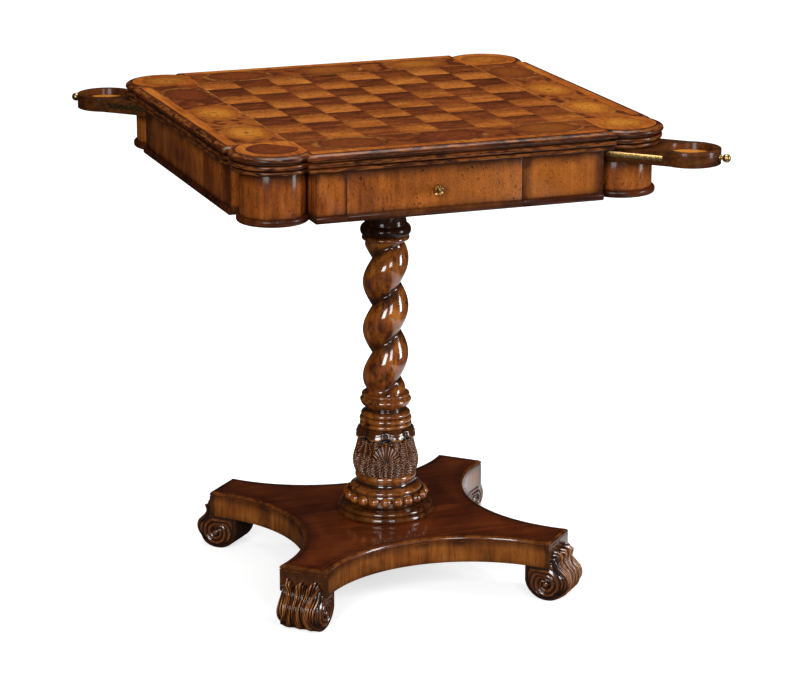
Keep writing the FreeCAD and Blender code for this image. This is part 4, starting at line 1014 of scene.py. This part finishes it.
def make_pearls():
    """Ring of pearls on a core, one of them facing the way that the palmette faces."""
    column = bpy.context.scene.table_column
    low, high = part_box("pearl_ring")
    core = column.pearl_core
    flat = core - 0.01
    pearls = Shape()
    profile = [(flat, low.z), *half_round(core, low.z, high.z, 0.003), (flat, high.z)]
    pearls.grid(lathe(profile), caps=(True, True), relief=0.1)
    tilt = np.linspace(-math.pi / 2, math.pi / 2, 15)[:, None]
    spin = np.linspace(0, 2 * math.pi, 24, endpoint=False)
    half = (high.z - low.z) * 0.36
    x = column.pearl_circle + column.pearl_radius * np.cos(tilt) * np.cos(spin)
    y = 1.12 * column.pearl_radius * np.cos(tilt) * np.sin(spin)
    z = high.z - half + half * np.sin(tilt) + 0 * spin
    # The mark paints the gaps between the pearls dark in the column's finish, as painted shade.
    mark = np.clip(0.15 + 0.85 * np.cos(tilt) * np.cos(spin), 0, 1)
    for number in range(column.pearls):
        bearing = column.facing + 2 * math.pi * number / column.pearls
        pearls.grid(turned_about(np.stack((x, y, z), axis=-1), bearing), relief=mark)
    piece(pearls.mesh("pearl_ring_turned"), "pearl_ring")


def make_turned_column():
    """Base ring, pearls, hollow moulding, reel and capital."""
    column = bpy.context.scene.table_column
    ring = column.base_radius
    turned_piece(
        "base_ring", column.pearl_core - 0.012,
        half_round(ring, 0.0, 0.56, 0.005), half_round(ring - 0.003, 0.6, 1.0, 0.0045),
    )
    make_pearls()
    turned_piece(
        "hollow_moulding", 0.03,
        half_round(0.057, 0.0, 0.25, 0.0035),
        through([(0.0525, 0.2786), (0.0490, 0.34), (0.0462, 0.46), (0.0456, 0.56), (0.0462, 0.64)]),
        half_round(0.0484, 0.66, 1.0, 0.003),
    )
    turned_piece(
        "turned_reel", 0.02,
        half_round(0.0413, 0.0, 0.14, 0.0042), half_round(0.0413, 0.145, 0.305, 0.0042),
        half_round(0.039, 0.31, 0.455, 0.0042),
        through([
            (0.0335, 0.465), (0.0302, 0.51), (0.0318, 0.57), (0.0375, 0.67), (0.0402, 0.77), (0.0402, 0.83),
            (0.0368, 0.91),
        ]),
        half_round(0.038, 0.925, 1.0, 0.002),
    )
    turned_piece(
        "column_capital", 0.02,
        half_round(0.0375, 0.0, 0.0609, 0.003), half_round(0.040, 0.0652, 0.2130, 0.006),
        through([(0.0335, 0.2217), (0.0322, 0.3130), (0.0335, 0.4783), (0.040, 0.6609), (0.0535, 0.8783)]),
        half_round(0.062, 0.8783, 1.0, 0.006),
    )
    finish_node("tie_rod", "tie_nuts")


def make_twist():
    """Barley-twist shaft, one start, dying out at both ends."""
    column = bpy.context.scene.table_column
    low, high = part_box("twist_shaft")
    height = np.linspace(low.z, high.z, 200)[:, None]
    angle = np.linspace(0, 2 * math.pi, 128, endpoint=False)
    bearing = column.twist_bearing + 2 * math.pi * (height - low.z) / column.twist_pitch
    rope = column.twist_inner + column.twist_depth * np.abs(np.sin((angle - bearing) / 2))
    ends = np.minimum(np.minimum(height - low.z, high.z - height) / column.twist_runout, 1)
    radius = column.twist_end + (rope - column.twist_end) * np.sin(ends * math.pi / 2)
    # The crest mark paints the groove dark in the column's finish, as painted shade.
    crest = np.clip((radius - column.twist_inner) / column.twist_depth, 0, 1) * 0.7
    shaft = Shape()
    shaft.grid(round_axis(radius, angle, height), caps=(True, True), relief=crest)
    piece(shaft.mesh("twist_shaft_carved", 70), "twist_shaft")


def carved_leaf(beside, up, half, veins):
    """One leaf: rim, midrib and slanting veins. Up goes from 0 at its foot to 1 at its tip."""
    width = half * np.sin(math.pi * np.clip(0.12 + 0.88 * up, 0, 1)) ** 0.6 + 1e-6
    edge = np.where((up > 0) & (up < 1), 1 - np.abs(beside) / width, -1)
    inside = smooth_step(edge, 0.0, 0.14)
    rim = np.exp(-(((edge - 0.18) / 0.12) ** 2))
    rib = np.exp(-((beside / (0.14 * half)) ** 2))
    vein = np.abs(np.cos(math.pi * (up * veins - 1.4 * np.abs(beside) / half))) ** 0.7
    return inside * np.clip(0.28 + 0.42 * vein + 0.35 * np.maximum(rim, rib), 0, 1)


# Leaves round the vase, then turn in shares of a leaf, foot and tip in shares of the vase, half width, veins.
VASE_TIERS = (
    (8, 0.5, 0.34, 1.06, 0.0175, 11),
    (8, 0.0, 0.40, 0.98, 0.0150, 11),
    (16, 0.5, 0.02, 0.62, 0.0082, 8),
    (16, 0.0, -0.12, 0.44, 0.0078, 7),
)
VASE_REACH = 0.049
VASE_HEIGHTS = (0.0, 0.10, 0.22, 0.34, 0.46, 0.60, 0.72, 0.84, 1.0)
VASE_RADII = (0.0450, 0.0478, 0.0495, 0.0498, 0.0490, 0.0466, 0.0448, 0.0430, 0.0415)


def vase_carving(angle, height, low, high):
    """How far the carving stands out, from 0 in the recesses to 1 on the crests."""
    facing = bpy.context.scene.table_column.facing
    rise = (height - low) / (high - low)
    across = wrap(angle - facing, math.pi / 2) * VASE_REACH
    up = height - (low + 0.40 * (high - low))
    spread = np.arctan2(across, up)
    distance = np.hypot(across, up)
    ray = np.abs(np.cos(spread * 13.0)) ** 0.8
    limit = 0.030 - 0.004 * np.abs(spread) + 0.001 * ray
    shell = smooth_step(limit - distance, 0.0, 0.0015) * smooth_step(1.15 - np.abs(spread), 0.0, 0.12)
    shell = shell * (0.30 + 0.62 * ray) * (0.6 + 0.4 * smooth_step(distance, 0.0, 0.018))

    carving = np.zeros(np.broadcast(angle, height).shape)
    for leaves, offset, foot, tip, half, veins in VASE_TIERS:
        step = 2 * math.pi / leaves
        beside = wrap(angle - facing - offset * step, step) * VASE_REACH
        leaf = carved_leaf(beside + 0 * rise, (rise - foot) / (tip - foot), half, veins)
        carving = np.where(leaf > 0.02, leaf, carving)
        if leaves == 8:
            carving = np.where(shell > 0.05, shell, carving)
    return carving


def make_carved_vase():
    """Vase with shells, feather leaves and small leaves, under a dished collar."""
    column = bpy.context.scene.table_column
    low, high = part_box("carved_vase")
    shoulder = low.z + column.vase_height
    height = np.linspace(low.z, high.z, 240)[:, None]
    angle = np.linspace(0, 2 * math.pi, 640, endpoint=False)
    rise = np.clip((height - low.z) / (shoulder - low.z), 0, 1)
    body = np.interp(rise, VASE_HEIGHTS, VASE_RADII)
    carving = vase_carving(angle, height, low.z, shoulder)
    radius = body - 0.0022 + column.carving_depth * carving

    lobe = wrap(angle - column.facing - math.pi / 8, math.pi / 4) / (math.pi / 8)
    droop = shoulder - 0.001 + 0.0060 * np.abs(lobe) ** 1.6 + 0.0008 * np.cos(lobe * 3 * math.pi)
    over = height - droop
    share_up = np.clip(over / (high.z - droop), 0, 1)
    fold = 1 - np.abs(lobe) ** 2.0
    flare = np.sin(math.pi * np.clip(0.30 + 0.70 * share_up, 0, 1)) ** 0.8
    collar = 0.0395 + (0.0055 + 0.0045 * fold) * flare - 0.0016 * np.exp(-((share_up - 0.45) / 0.2) ** 2)
    covered = smooth_step(over, 0.0, 0.0012)
    radius = radius * (1 - covered) + collar * covered
    # The collar's mark paints its folds darker as painted shade and its lip lighter as painted highlight.
    collar_mark = 0.32 + 0.28 * fold + 0.4 * np.exp(-(((share_up - 0.10) / 0.10) ** 2))
    # Painted shadow under the collar's lower edge, darkening the carving's mark there.
    shadow = 1 - 0.6 * smooth_step(over, -0.004, -0.0005)
    mark = (0.06 + 0.80 * carving) * (1 - covered) * shadow + collar_mark * covered
    vase = Shape()
    vase.grid(round_axis(radius, angle, height), caps=(True, True), relief=mark)
    piece(vase.mesh("carved_vase_cut", 80), "carved_vase")


def make_platform():
    """Block with hollow sides, and the board on it: a fillet, a rolled shoulder and a scratched line."""
    base = bpy.context.scene.table_base
    low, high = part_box("platform_top")
    board = Shape()
    split = low.z + 0.34 * (high.z - low.z)
    shoulder = high.z - split - 0.0008
    turn = np.linspace(0, math.pi / 2, 10)
    profile = [(0.006, low.z), (0.0008, low.z), (0.0003, low.z + 0.0007), (0.0003, split - 0.0010)]
    profile += [(0.0018, split - 0.0003), (0.0018, split + 0.0003)]
    inner = 0.0002 + shoulder
    profile += [(inner - shoulder * math.cos(a), split + 0.0008 + shoulder * math.sin(a)) for a in turn]
    profile += [(inner + 0.0012, high.z), (inner + 0.0019, high.z - 0.0007), (inner + 0.0026, high.z)]
    profile += [(inset, high.z) for inset in (0.014, 0.020, 0.028)]
    crest = [0, 0.3, 0.8, 0.8, 0, 0] + [0.3 + 0.7 * math.sin(2 * a) for a in turn] + [0.1, 0, 0.1, 0, 0, 0]
    swept(board, platform_plan, profile, caps=(True, True), crest=crest)
    stain = [0.6] * 6 + [0.75] * len(turn) + [1.0, 1.0, 0.9, 0.6, 0.25, 0.0]
    board.values["stain"] = np.repeat(stain, len(platform_plan(0.0))).tolist()
    piece(board.mesh("platform_top_cut", 50), "platform_top")

    low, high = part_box("platform_core")
    core = Shape()
    ease = 0.0012
    inset = base.core_inset
    profile = [
        (inset + 0.01, low.z), (inset + ease, low.z), (inset + 0.3 * ease, low.z + 0.3 * ease),
        (inset, low.z + ease), (inset, high.z), (inset + 0.01, high.z),
    ]
    swept(core, platform_plan, profile, caps=(True, True))
    piece(core.mesh("platform_core_cut", 40), "platform_core")


def arc_points(centre, radius, start, end, steps):
    """Points of an arc after its first."""
    angle = np.linspace(start, end, steps)[1:]
    return centre + radius * np.stack((np.cos(angle), np.sin(angle)), axis=-1)


def foot_path():
    """Side view of a foot, from the leaf tips down round the scroll and up its back.

    Gives the points, the way run along them, and the run at which the leaves end.
    """
    base = bpy.context.scene.table_base
    under = np.array((base.scroll_centre, base.scroll_base - base.scroll_flat))
    lean = np.array((math.sin(base.toe_lean), -math.cos(base.toe_lean)))
    toe = under + (base.scroll_base - base.scroll_nose) * lean
    heel = np.array((2 * under[0] - toe[0], toe[1]))
    dip = base.toe_lean - math.pi / 2
    join = toe + base.scroll_nose * np.array((math.cos(base.brow_lean), math.sin(base.brow_lean)))
    start = np.array((base.leaf_edge, base.leaf_top - 0.0015))
    pulls = (start, start + (0.0015, -0.017), join + (-0.0115, 0.0105), join)
    t = np.linspace(0, 1, 70)[:, None]
    front = (
        (1 - t) ** 3 * pulls[0] + 3 * t * (1 - t) ** 2 * pulls[1]
        + 3 * t * t * (1 - t) * pulls[2] + t ** 3 * pulls[3]
    )
    nose = arc_points(toe, base.scroll_nose, base.brow_lean, dip, 40)
    sole = arc_points(under, base.scroll_base, dip, -math.pi - dip, 100)
    rear = arc_points(heel, base.scroll_nose, -math.pi - dip, -math.pi, 16)
    back = np.array([(rear[-1, 0], z) for z in np.linspace(rear[-1, 1], base.foot_height, 6)[1:]])
    path = np.vstack((front, nose, sole, rear, back))
    run = np.concatenate(([0], np.cumsum(np.linalg.norm(np.diff(path, axis=0), axis=1))))
    return path, run, run[len(front) + len(nose) + 30]


# Leaves across the front of a foot, from -1 to 1: middles of the groups, each strand's place in its group
# with how far below the tip it starts, strands at the sides, and the place and start of every tip.
LEAF_GROUPS = (-0.70, 0.0, 0.70)
LEAF_STRANDS = ((-0.26, 0.11), (-0.14, 0.04), (0.0, 0.0), (0.14, 0.04), (0.26, 0.11))
LEAF_SIDES = (0.72, 0.85, 0.98, 1.11)
LEAF_TIPS = [
    (group + offset, low + 0.05 * (1 - abs(group))) for group in LEAF_GROUPS for offset, low in LEAF_STRANDS
]


def leaf_notches(across):
    """Where the leaves' edge starts down the foot, from the tips to the notches between them."""
    starts = [low + 0.10 * ((across - tip) / 0.075) ** 2 for tip, low in LEAF_TIPS]
    return np.minimum(np.min(starts, axis=0), 0.22)


def leaf_carving(along, across):
    """Strands that fan out at the leaf tips, gather below them and part round the two spirals."""
    height = np.zeros(np.broadcast(along, across).shape)
    waist = smooth_step(along, 0.04, 0.42) * (1 - smooth_step(along, 0.50, 1.0))
    squeeze = 1 - 0.40 * waist
    for tip, _ in LEAF_TIPS:
        ridge = np.clip(1 - ((across / squeeze - tip) / 0.066) ** 2, 0, 1) ** 0.6
        height = np.maximum(height, ridge * (0.80 + 0.20 * np.cos(along * 7.0 + 11.0 * tip)))
    for strand in LEAF_SIDES:
        ridge = np.clip(1 - ((np.abs(across) - strand + 0.16 * along) / 0.062) ** 2, 0, 1) ** 0.6
        height = np.maximum(height, 0.9 * ridge * waist)
    return height


def foot_skin():
    """Carved front, sole and smooth back of a foot: a net of points, and how far each stands out."""
    base = bpy.context.scene.table_base
    path, run, leaf_run = foot_path()
    step = np.gradient(path, axis=0)
    step /= np.linalg.norm(step, axis=1, keepdims=True)
    across = np.linspace(-1, 1, 160)
    notch = leaf_notches(across) * leaf_run
    ease = np.clip(1 - run[:, None] / (0.55 * leaf_run), 0, 1)
    reached = run[:, None] + notch * ease
    d, z = (np.interp(reached, run, path[:, axis]) for axis in (0, 1))
    out_d, out_z = (np.interp(reached, run, side) for side in (-step[:, 1], step[:, 0]))
    along = reached / leaf_run
    strength = 1 - smooth_step(along, 0.9, 1.1)
    carving = leaf_carving(along, across)
    curl = 0.0055 * np.exp(-(((along - 0.13) / 0.08) ** 2))
    depth = strength * (base.leaf_depth * (carving - 0.75) + curl * carving)
    edge = np.clip((np.abs(across) - 1) * base.foot_half / base.scroll_round + 1, 0, 1)
    depth = depth - base.scroll_round * (1 - np.sqrt(1 - edge ** 2))
    d = d + out_d * depth
    z = np.maximum(z + out_z * depth, 0.0)
    under = base.leaf_edge - 0.007
    level = np.ones((1, len(across)))
    d = np.vstack((under * level, d, under * level))
    z = np.vstack((z[:1], z, base.foot_height * level))
    points = np.stack((d, across * base.foot_half + 0 * d, z), axis=-1)
    # The mark colours the leaves through their finish: dark in the valleys as painted shade, gold on the
    # ridges as painted highlight.
    mark = np.clip(strength * carving + (1 - strength) * 0.45, 0, 1)
    return points, np.vstack((mark[:1] * 0.4, mark, mark[-1:]))


def spiral_side(outline, side):
    """Left or right side of a foot, -1 or 1: a raised spiral with a ball for its eye, inside the outline."""
    base = bpy.context.scene.table_base
    centre = np.array((base.scroll_centre, base.foot_height / 2))
    shares = np.linspace(0, 1, 64)[:, None]
    spot = centre + (outline - centre) * shares[..., None]
    reach = np.linalg.norm(spot - centre, axis=-1)
    spin = np.arctan2(spot[..., 1] - centre[1], spot[..., 0] - centre[0])
    band = np.sin(math.pi * ((reach / base.spiral_pitch - spin / (2 * math.pi)) % 1)) ** 0.6
    within = smooth_step(reach, base.eye_radius, base.eye_radius + 0.002)
    inside = smooth_step(reach[-1] - reach, 0.0, 0.004) * (1 - smooth_step(reach, 0.034, 0.040))
    beyond = smooth_step(reach, base.volute_radius - 0.002, base.volute_radius + 0.005)
    ball = np.sqrt(np.clip(1 - (reach / base.eye_radius) ** 2, 0, 1))
    lift = (base.volute_half - base.foot_half) * (1 - 0.55 * beyond) * band * within * inside
    lift = lift + (base.eye_half - base.foot_half) * ball
    face = np.stack((spot[..., 0], side * (base.foot_half + lift), spot[..., 1]), axis=-1)
    # Its mark paints the spiral's grooves dark as painted shade, and its bands and ball lighter as painted
    # highlight.
    return face, np.maximum(0.10 + 0.65 * band * within * inside, 0.8 * ball)


def make_feet():
    """Four scroll feet, one under the end of each arm."""
    points, mark = foot_skin()
    sides = [spiral_side(points[:, edge][:, (0, 2)], side) for side, edge in ((-1, 0), (1, -1))]
    for number, label in enumerate(("far_right_foot", "far_left_foot", "near_left_foot", "near_right_foot")):
        bearing = math.radians(45 + 90 * number)
        foot = Shape()
        foot.grid(turned_about(points, bearing), closed=False, relief=mark)
        for face, shown in sides:
            foot.grid(turned_about(face, bearing), relief=shown)
        piece(foot.mesh(f"{label}_carved", 75), label)


def make_woodwork():
    """Inner panels, bearers, guides and dowels."""
    finish_node(
        "top_panel", "under_panel", "closing_board", "cross_bearer", "drawer_partitions", "drawer_runners",
        "slide_guides", "foot_dowels",
    )


MIDDLE = (0.0, 0.0, 0.45)
# Name, place, what it faces, width, height and power.
LAMPS = (
    ("front_left_lamp", (-2.4, -2.9, 1.9), MIDDLE, 1.2, 2.0, 70),
    ("front_right_lamp", (-0.3, -3.6, 2.2), MIDDLE, 0.9, 1.6, 32),
    ("right_lamp", (2.8, -1.9, 1.3), MIDDLE, 0.8, 1.9, 52),
    ("top_lamp", (0.3, 0.2, 3.2), (0.0, 0.0, 0.76), 2.0, 2.0, 60),
)
WHITE = (1.0, 1.0, 1.0, 1.0)


def on_stage(name, data):
    """Put a camera, lamp or floor into the scene, apart from the table."""
    thing = bpy.data.objects.new(name, data)
    bpy.context.scene.collection.objects.link(thing)
    return thing


def set_camera():
    studio = bpy.context.scene.table_studio
    camera = bpy.data.cameras.new("camera")
    camera.lens = studio.lens
    camera.sensor_width = 36.0
    camera.clip_end = 200.0
    azimuth, tilt, roll = studio.azimuth, studio.elevation, studio.roll
    back = Vector((math.sin(azimuth) * math.cos(tilt), -math.cos(azimuth) * math.cos(tilt), math.sin(tilt)))
    level = Vector((math.cos(azimuth), math.sin(azimuth), 0.0))
    rise = back.cross(level)
    right = level * math.cos(roll) + rise * math.sin(roll)
    up = rise * math.cos(roll) - level * math.sin(roll)
    turn = Matrix((right, up, back)).transposed()
    seat = on_stage("camera", camera)
    seat.matrix_world = Matrix.Translation(Vector(studio.place)) @ turn.to_4x4()
    bpy.context.scene.camera = seat


def set_lamps():
    """Rectangular lamps that face the table."""
    for name, place, target, width, height, power in LAMPS:
        lamp = bpy.data.lights.new(name, "AREA")
        lamp.shape = "RECTANGLE"
        lamp.size = width
        lamp.size_y = height
        lamp.energy = power
        thing = on_stage(name, lamp)
        thing.location = place
        thing.rotation_euler = (Vector(target) - Vector(place)).to_track_quat("-Z", "Y").to_euler()


def lay_floor():
    """White floor that shows the camera its own glow, with less of it round the table as a painted shadow,
    and that glows for glossy rays in a band to the right of the table as a painted reflection.
    """
    studio = bpy.context.scene.table_studio
    floor = bpy.data.meshes.new("floor")
    reach = 40.0
    corners = [(-reach, -reach, 0), (reach, -reach, 0), (reach, reach, 0), (-reach, reach, 0)]
    floor.from_pydata(corners, [], [(0, 1, 2, 3)])
    on_stage("floor", floor)
    paper = Finish("floor_paper", roughness=0.9, emission_strength=studio.floor_glow)
    seen = paper.add("ShaderNodeLightPath", {}, {}, "Is Camera Ray")
    mirrored = paper.add("ShaderNodeLightPath", {}, {}, "Is Glossy Ray")
    unseen = paper.mix(mirrored, (0.16, 0.15, 0.14, 1.0), (0.03, 0.03, 0.03, 1.0))
    paper.colour(paper.mix(seen, unseen, (0.9, 0.9, 0.9, 1.0)))
    # Painted reflection: glossy rays see the floor glow in a band to the right of the table, which shows on
    # the glossy right sides of the platform, feet and slides.
    beside = paper.x.over(230.0, 330.0) * (1.0 - paper.x.over(600.0, 900.0)) * mirrored * 0.8
    away = ((paper.x / 1000) ** 2.0 + (paper.y / 1000) ** 2.0) ** 0.5
    # Less glow near the table paints a broad soft shadow on the floor.
    near = (studio.painted_shadow_glow,) * 3 + (1.0,)
    glow = paper.ramp(away.over(0.4, 1.6), (0.0, near), (1.0, WHITE))
    painted_reflection_glow = paper.mix(beside, (0.0, 0.0, 0.0, 1.0), WHITE)
    paper.feed(paper.surface.inputs["Emission Color"], paper.mix(seen, painted_reflection_glow, glow))
    floor.materials.append(paper.material)


def set_surroundings():
    """Dim light from all sides, white to the camera."""
    studio = bpy.context.scene.table_studio
    world = bpy.data.worlds.new("surroundings")
    world.use_nodes = True
    bpy.context.scene.world = world
    sky = Nodes(world.node_tree)
    mirrored = sky.add("ShaderNodeLightPath", {}, {}, "Is Glossy Ray")
    seen = sky.add("ShaderNodeLightPath", {}, {}, "Is Camera Ray")
    dim = sky.mix(mirrored, (studio.ambient,) * 3 + (1.0,), (studio.mirrored,) * 3 + (1.0,))
    sky.feed(sky.tree.nodes["Background"].inputs["Color"], sky.mix(seen, dim, WHITE))


def make_studio():
    bpy.context.scene.view_settings.view_transform = "Standard"
    set_camera()
    set_lamps()
    lay_floor()
    set_surroundings()


class TableStep:
    """What every step of the build shares."""

    bl_options = {"UNDO"}

    def execute(self, context):
        self.make()
        return {"FINISHED"}


class CHESSTABLE_OT_finishes(TableStep, bpy.types.Operator):
    """Make the procedural finishes of the table"""

    bl_idname = "chess_table.finishes"
    bl_label = "Finishes"
    make = staticmethod(make_finishes)


class CHESSTABLE_OT_playing_surface(TableStep, bpy.types.Operator):
    """Lay the squares, oysters and crossbanding"""

    bl_idname = "chess_table.playing_surface"
    bl_label = "Playing surface"
    make = staticmethod(make_playing_surface)


class CHESSTABLE_OT_edge_mouldings(TableStep, bpy.types.Operator):
    """Run the nosing and beads round the top"""

    bl_idname = "chess_table.edge_mouldings"
    bl_label = "Edge mouldings"
    make = staticmethod(make_edge_mouldings)


class CHESSTABLE_OT_frieze(TableStep, bpy.types.Operator):
    """Set up the rails, posts and bead of the frieze"""

    bl_idname = "chess_table.frieze"
    bl_label = "Frieze"
    make = staticmethod(make_frieze)


class CHESSTABLE_OT_drawers(TableStep, bpy.types.Operator):
    """Make both drawers and their knobs"""

    bl_idname = "chess_table.drawers"
    bl_label = "Drawers"
    make = staticmethod(make_drawers)


class CHESSTABLE_OT_cup_slides(TableStep, bpy.types.Operator):
    """Make both cup slides"""

    bl_idname = "chess_table.cup_slides"
    bl_label = "Cup slides"
    make = staticmethod(make_cup_slides)


class CHESSTABLE_OT_turned_column(TableStep, bpy.types.Operator):
    """Turn the rings, reel and capital of the column"""

    bl_idname = "chess_table.turned_column"
    bl_label = "Turned column"
    make = staticmethod(make_turned_column)


class CHESSTABLE_OT_twist(TableStep, bpy.types.Operator):
    """Carve the barley-twist shaft"""

    bl_idname = "chess_table.twist"
    bl_label = "Twist"
    make = staticmethod(make_twist)


class CHESSTABLE_OT_carved_vase(TableStep, bpy.types.Operator):
    """Carve the vase and its collar"""

    bl_idname = "chess_table.carved_vase"
    bl_label = "Carved vase"
    make = staticmethod(make_carved_vase)


class CHESSTABLE_OT_platform(TableStep, bpy.types.Operator):
    """Shape the platform and its moulded board"""

    bl_idname = "chess_table.platform"
    bl_label = "Platform"
    make = staticmethod(make_platform)


class CHESSTABLE_OT_scroll_feet(TableStep, bpy.types.Operator):
    """Carve the four scroll feet"""

    bl_idname = "chess_table.scroll_feet"
    bl_label = "Scroll feet"
    make = staticmethod(make_feet)


class CHESSTABLE_OT_woodwork(TableStep, bpy.types.Operator):
    """Finish the inner woodwork"""

    bl_idname = "chess_table.woodwork"
    bl_label = "Inner woodwork"
    make = staticmethod(make_woodwork)


class CHESSTABLE_OT_studio(TableStep, bpy.types.Operator):
    """Set the camera, lamps and floor"""

    bl_idname = "chess_table.studio"
    bl_label = "Studio"
    make = staticmethod(make_studio)


STEPS = (
    CHESSTABLE_OT_finishes, CHESSTABLE_OT_playing_surface, CHESSTABLE_OT_edge_mouldings, CHESSTABLE_OT_frieze,
    CHESSTABLE_OT_drawers, CHESSTABLE_OT_cup_slides, CHESSTABLE_OT_turned_column, CHESSTABLE_OT_twist,
    CHESSTABLE_OT_carved_vase, CHESSTABLE_OT_platform, CHESSTABLE_OT_scroll_feet, CHESSTABLE_OT_woodwork,
    CHESSTABLE_OT_studio,
)


class CHESSTABLE_PT_panel(bpy.types.Panel):
    """Steps and sizes of the chess table"""

    bl_label = "Chess table"
    bl_idname = "CHESSTABLE_PT_panel"
    bl_space_type = "VIEW_3D"
    bl_region_type = "UI"
    bl_category = "Chess table"

    def draw(self, context):
        for step in STEPS:
            self.layout.operator(step.bl_idname)
        for name, group in SETTINGS.items():
            column = self.layout.column(align=True)
            for setting in group.__annotations__:
                column.prop(getattr(context.scene, name), setting)


def register():
    for name, group in SETTINGS.items():
        bpy.utils.register_class(group)
        setattr(bpy.types.Scene, name, bpy.props.PointerProperty(type=group))
    for step in STEPS:
        bpy.utils.register_class(step)
    bpy.utils.register_class(CHESSTABLE_PT_panel)


def unregister():
    bpy.utils.unregister_class(CHESSTABLE_PT_panel)
    for step in reversed(STEPS):
        bpy.utils.unregister_class(step)
    for name, group in reversed(SETTINGS.items()):
        delattr(bpy.types.Scene, name)
        bpy.utils.unregister_class(group)


def main():
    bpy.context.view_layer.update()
    register()
    for step in STEPS:
        area, name = step.bl_idname.split(".")
        getattr(getattr(bpy.ops, area), name)()


if __name__ == "__main__":
    main()
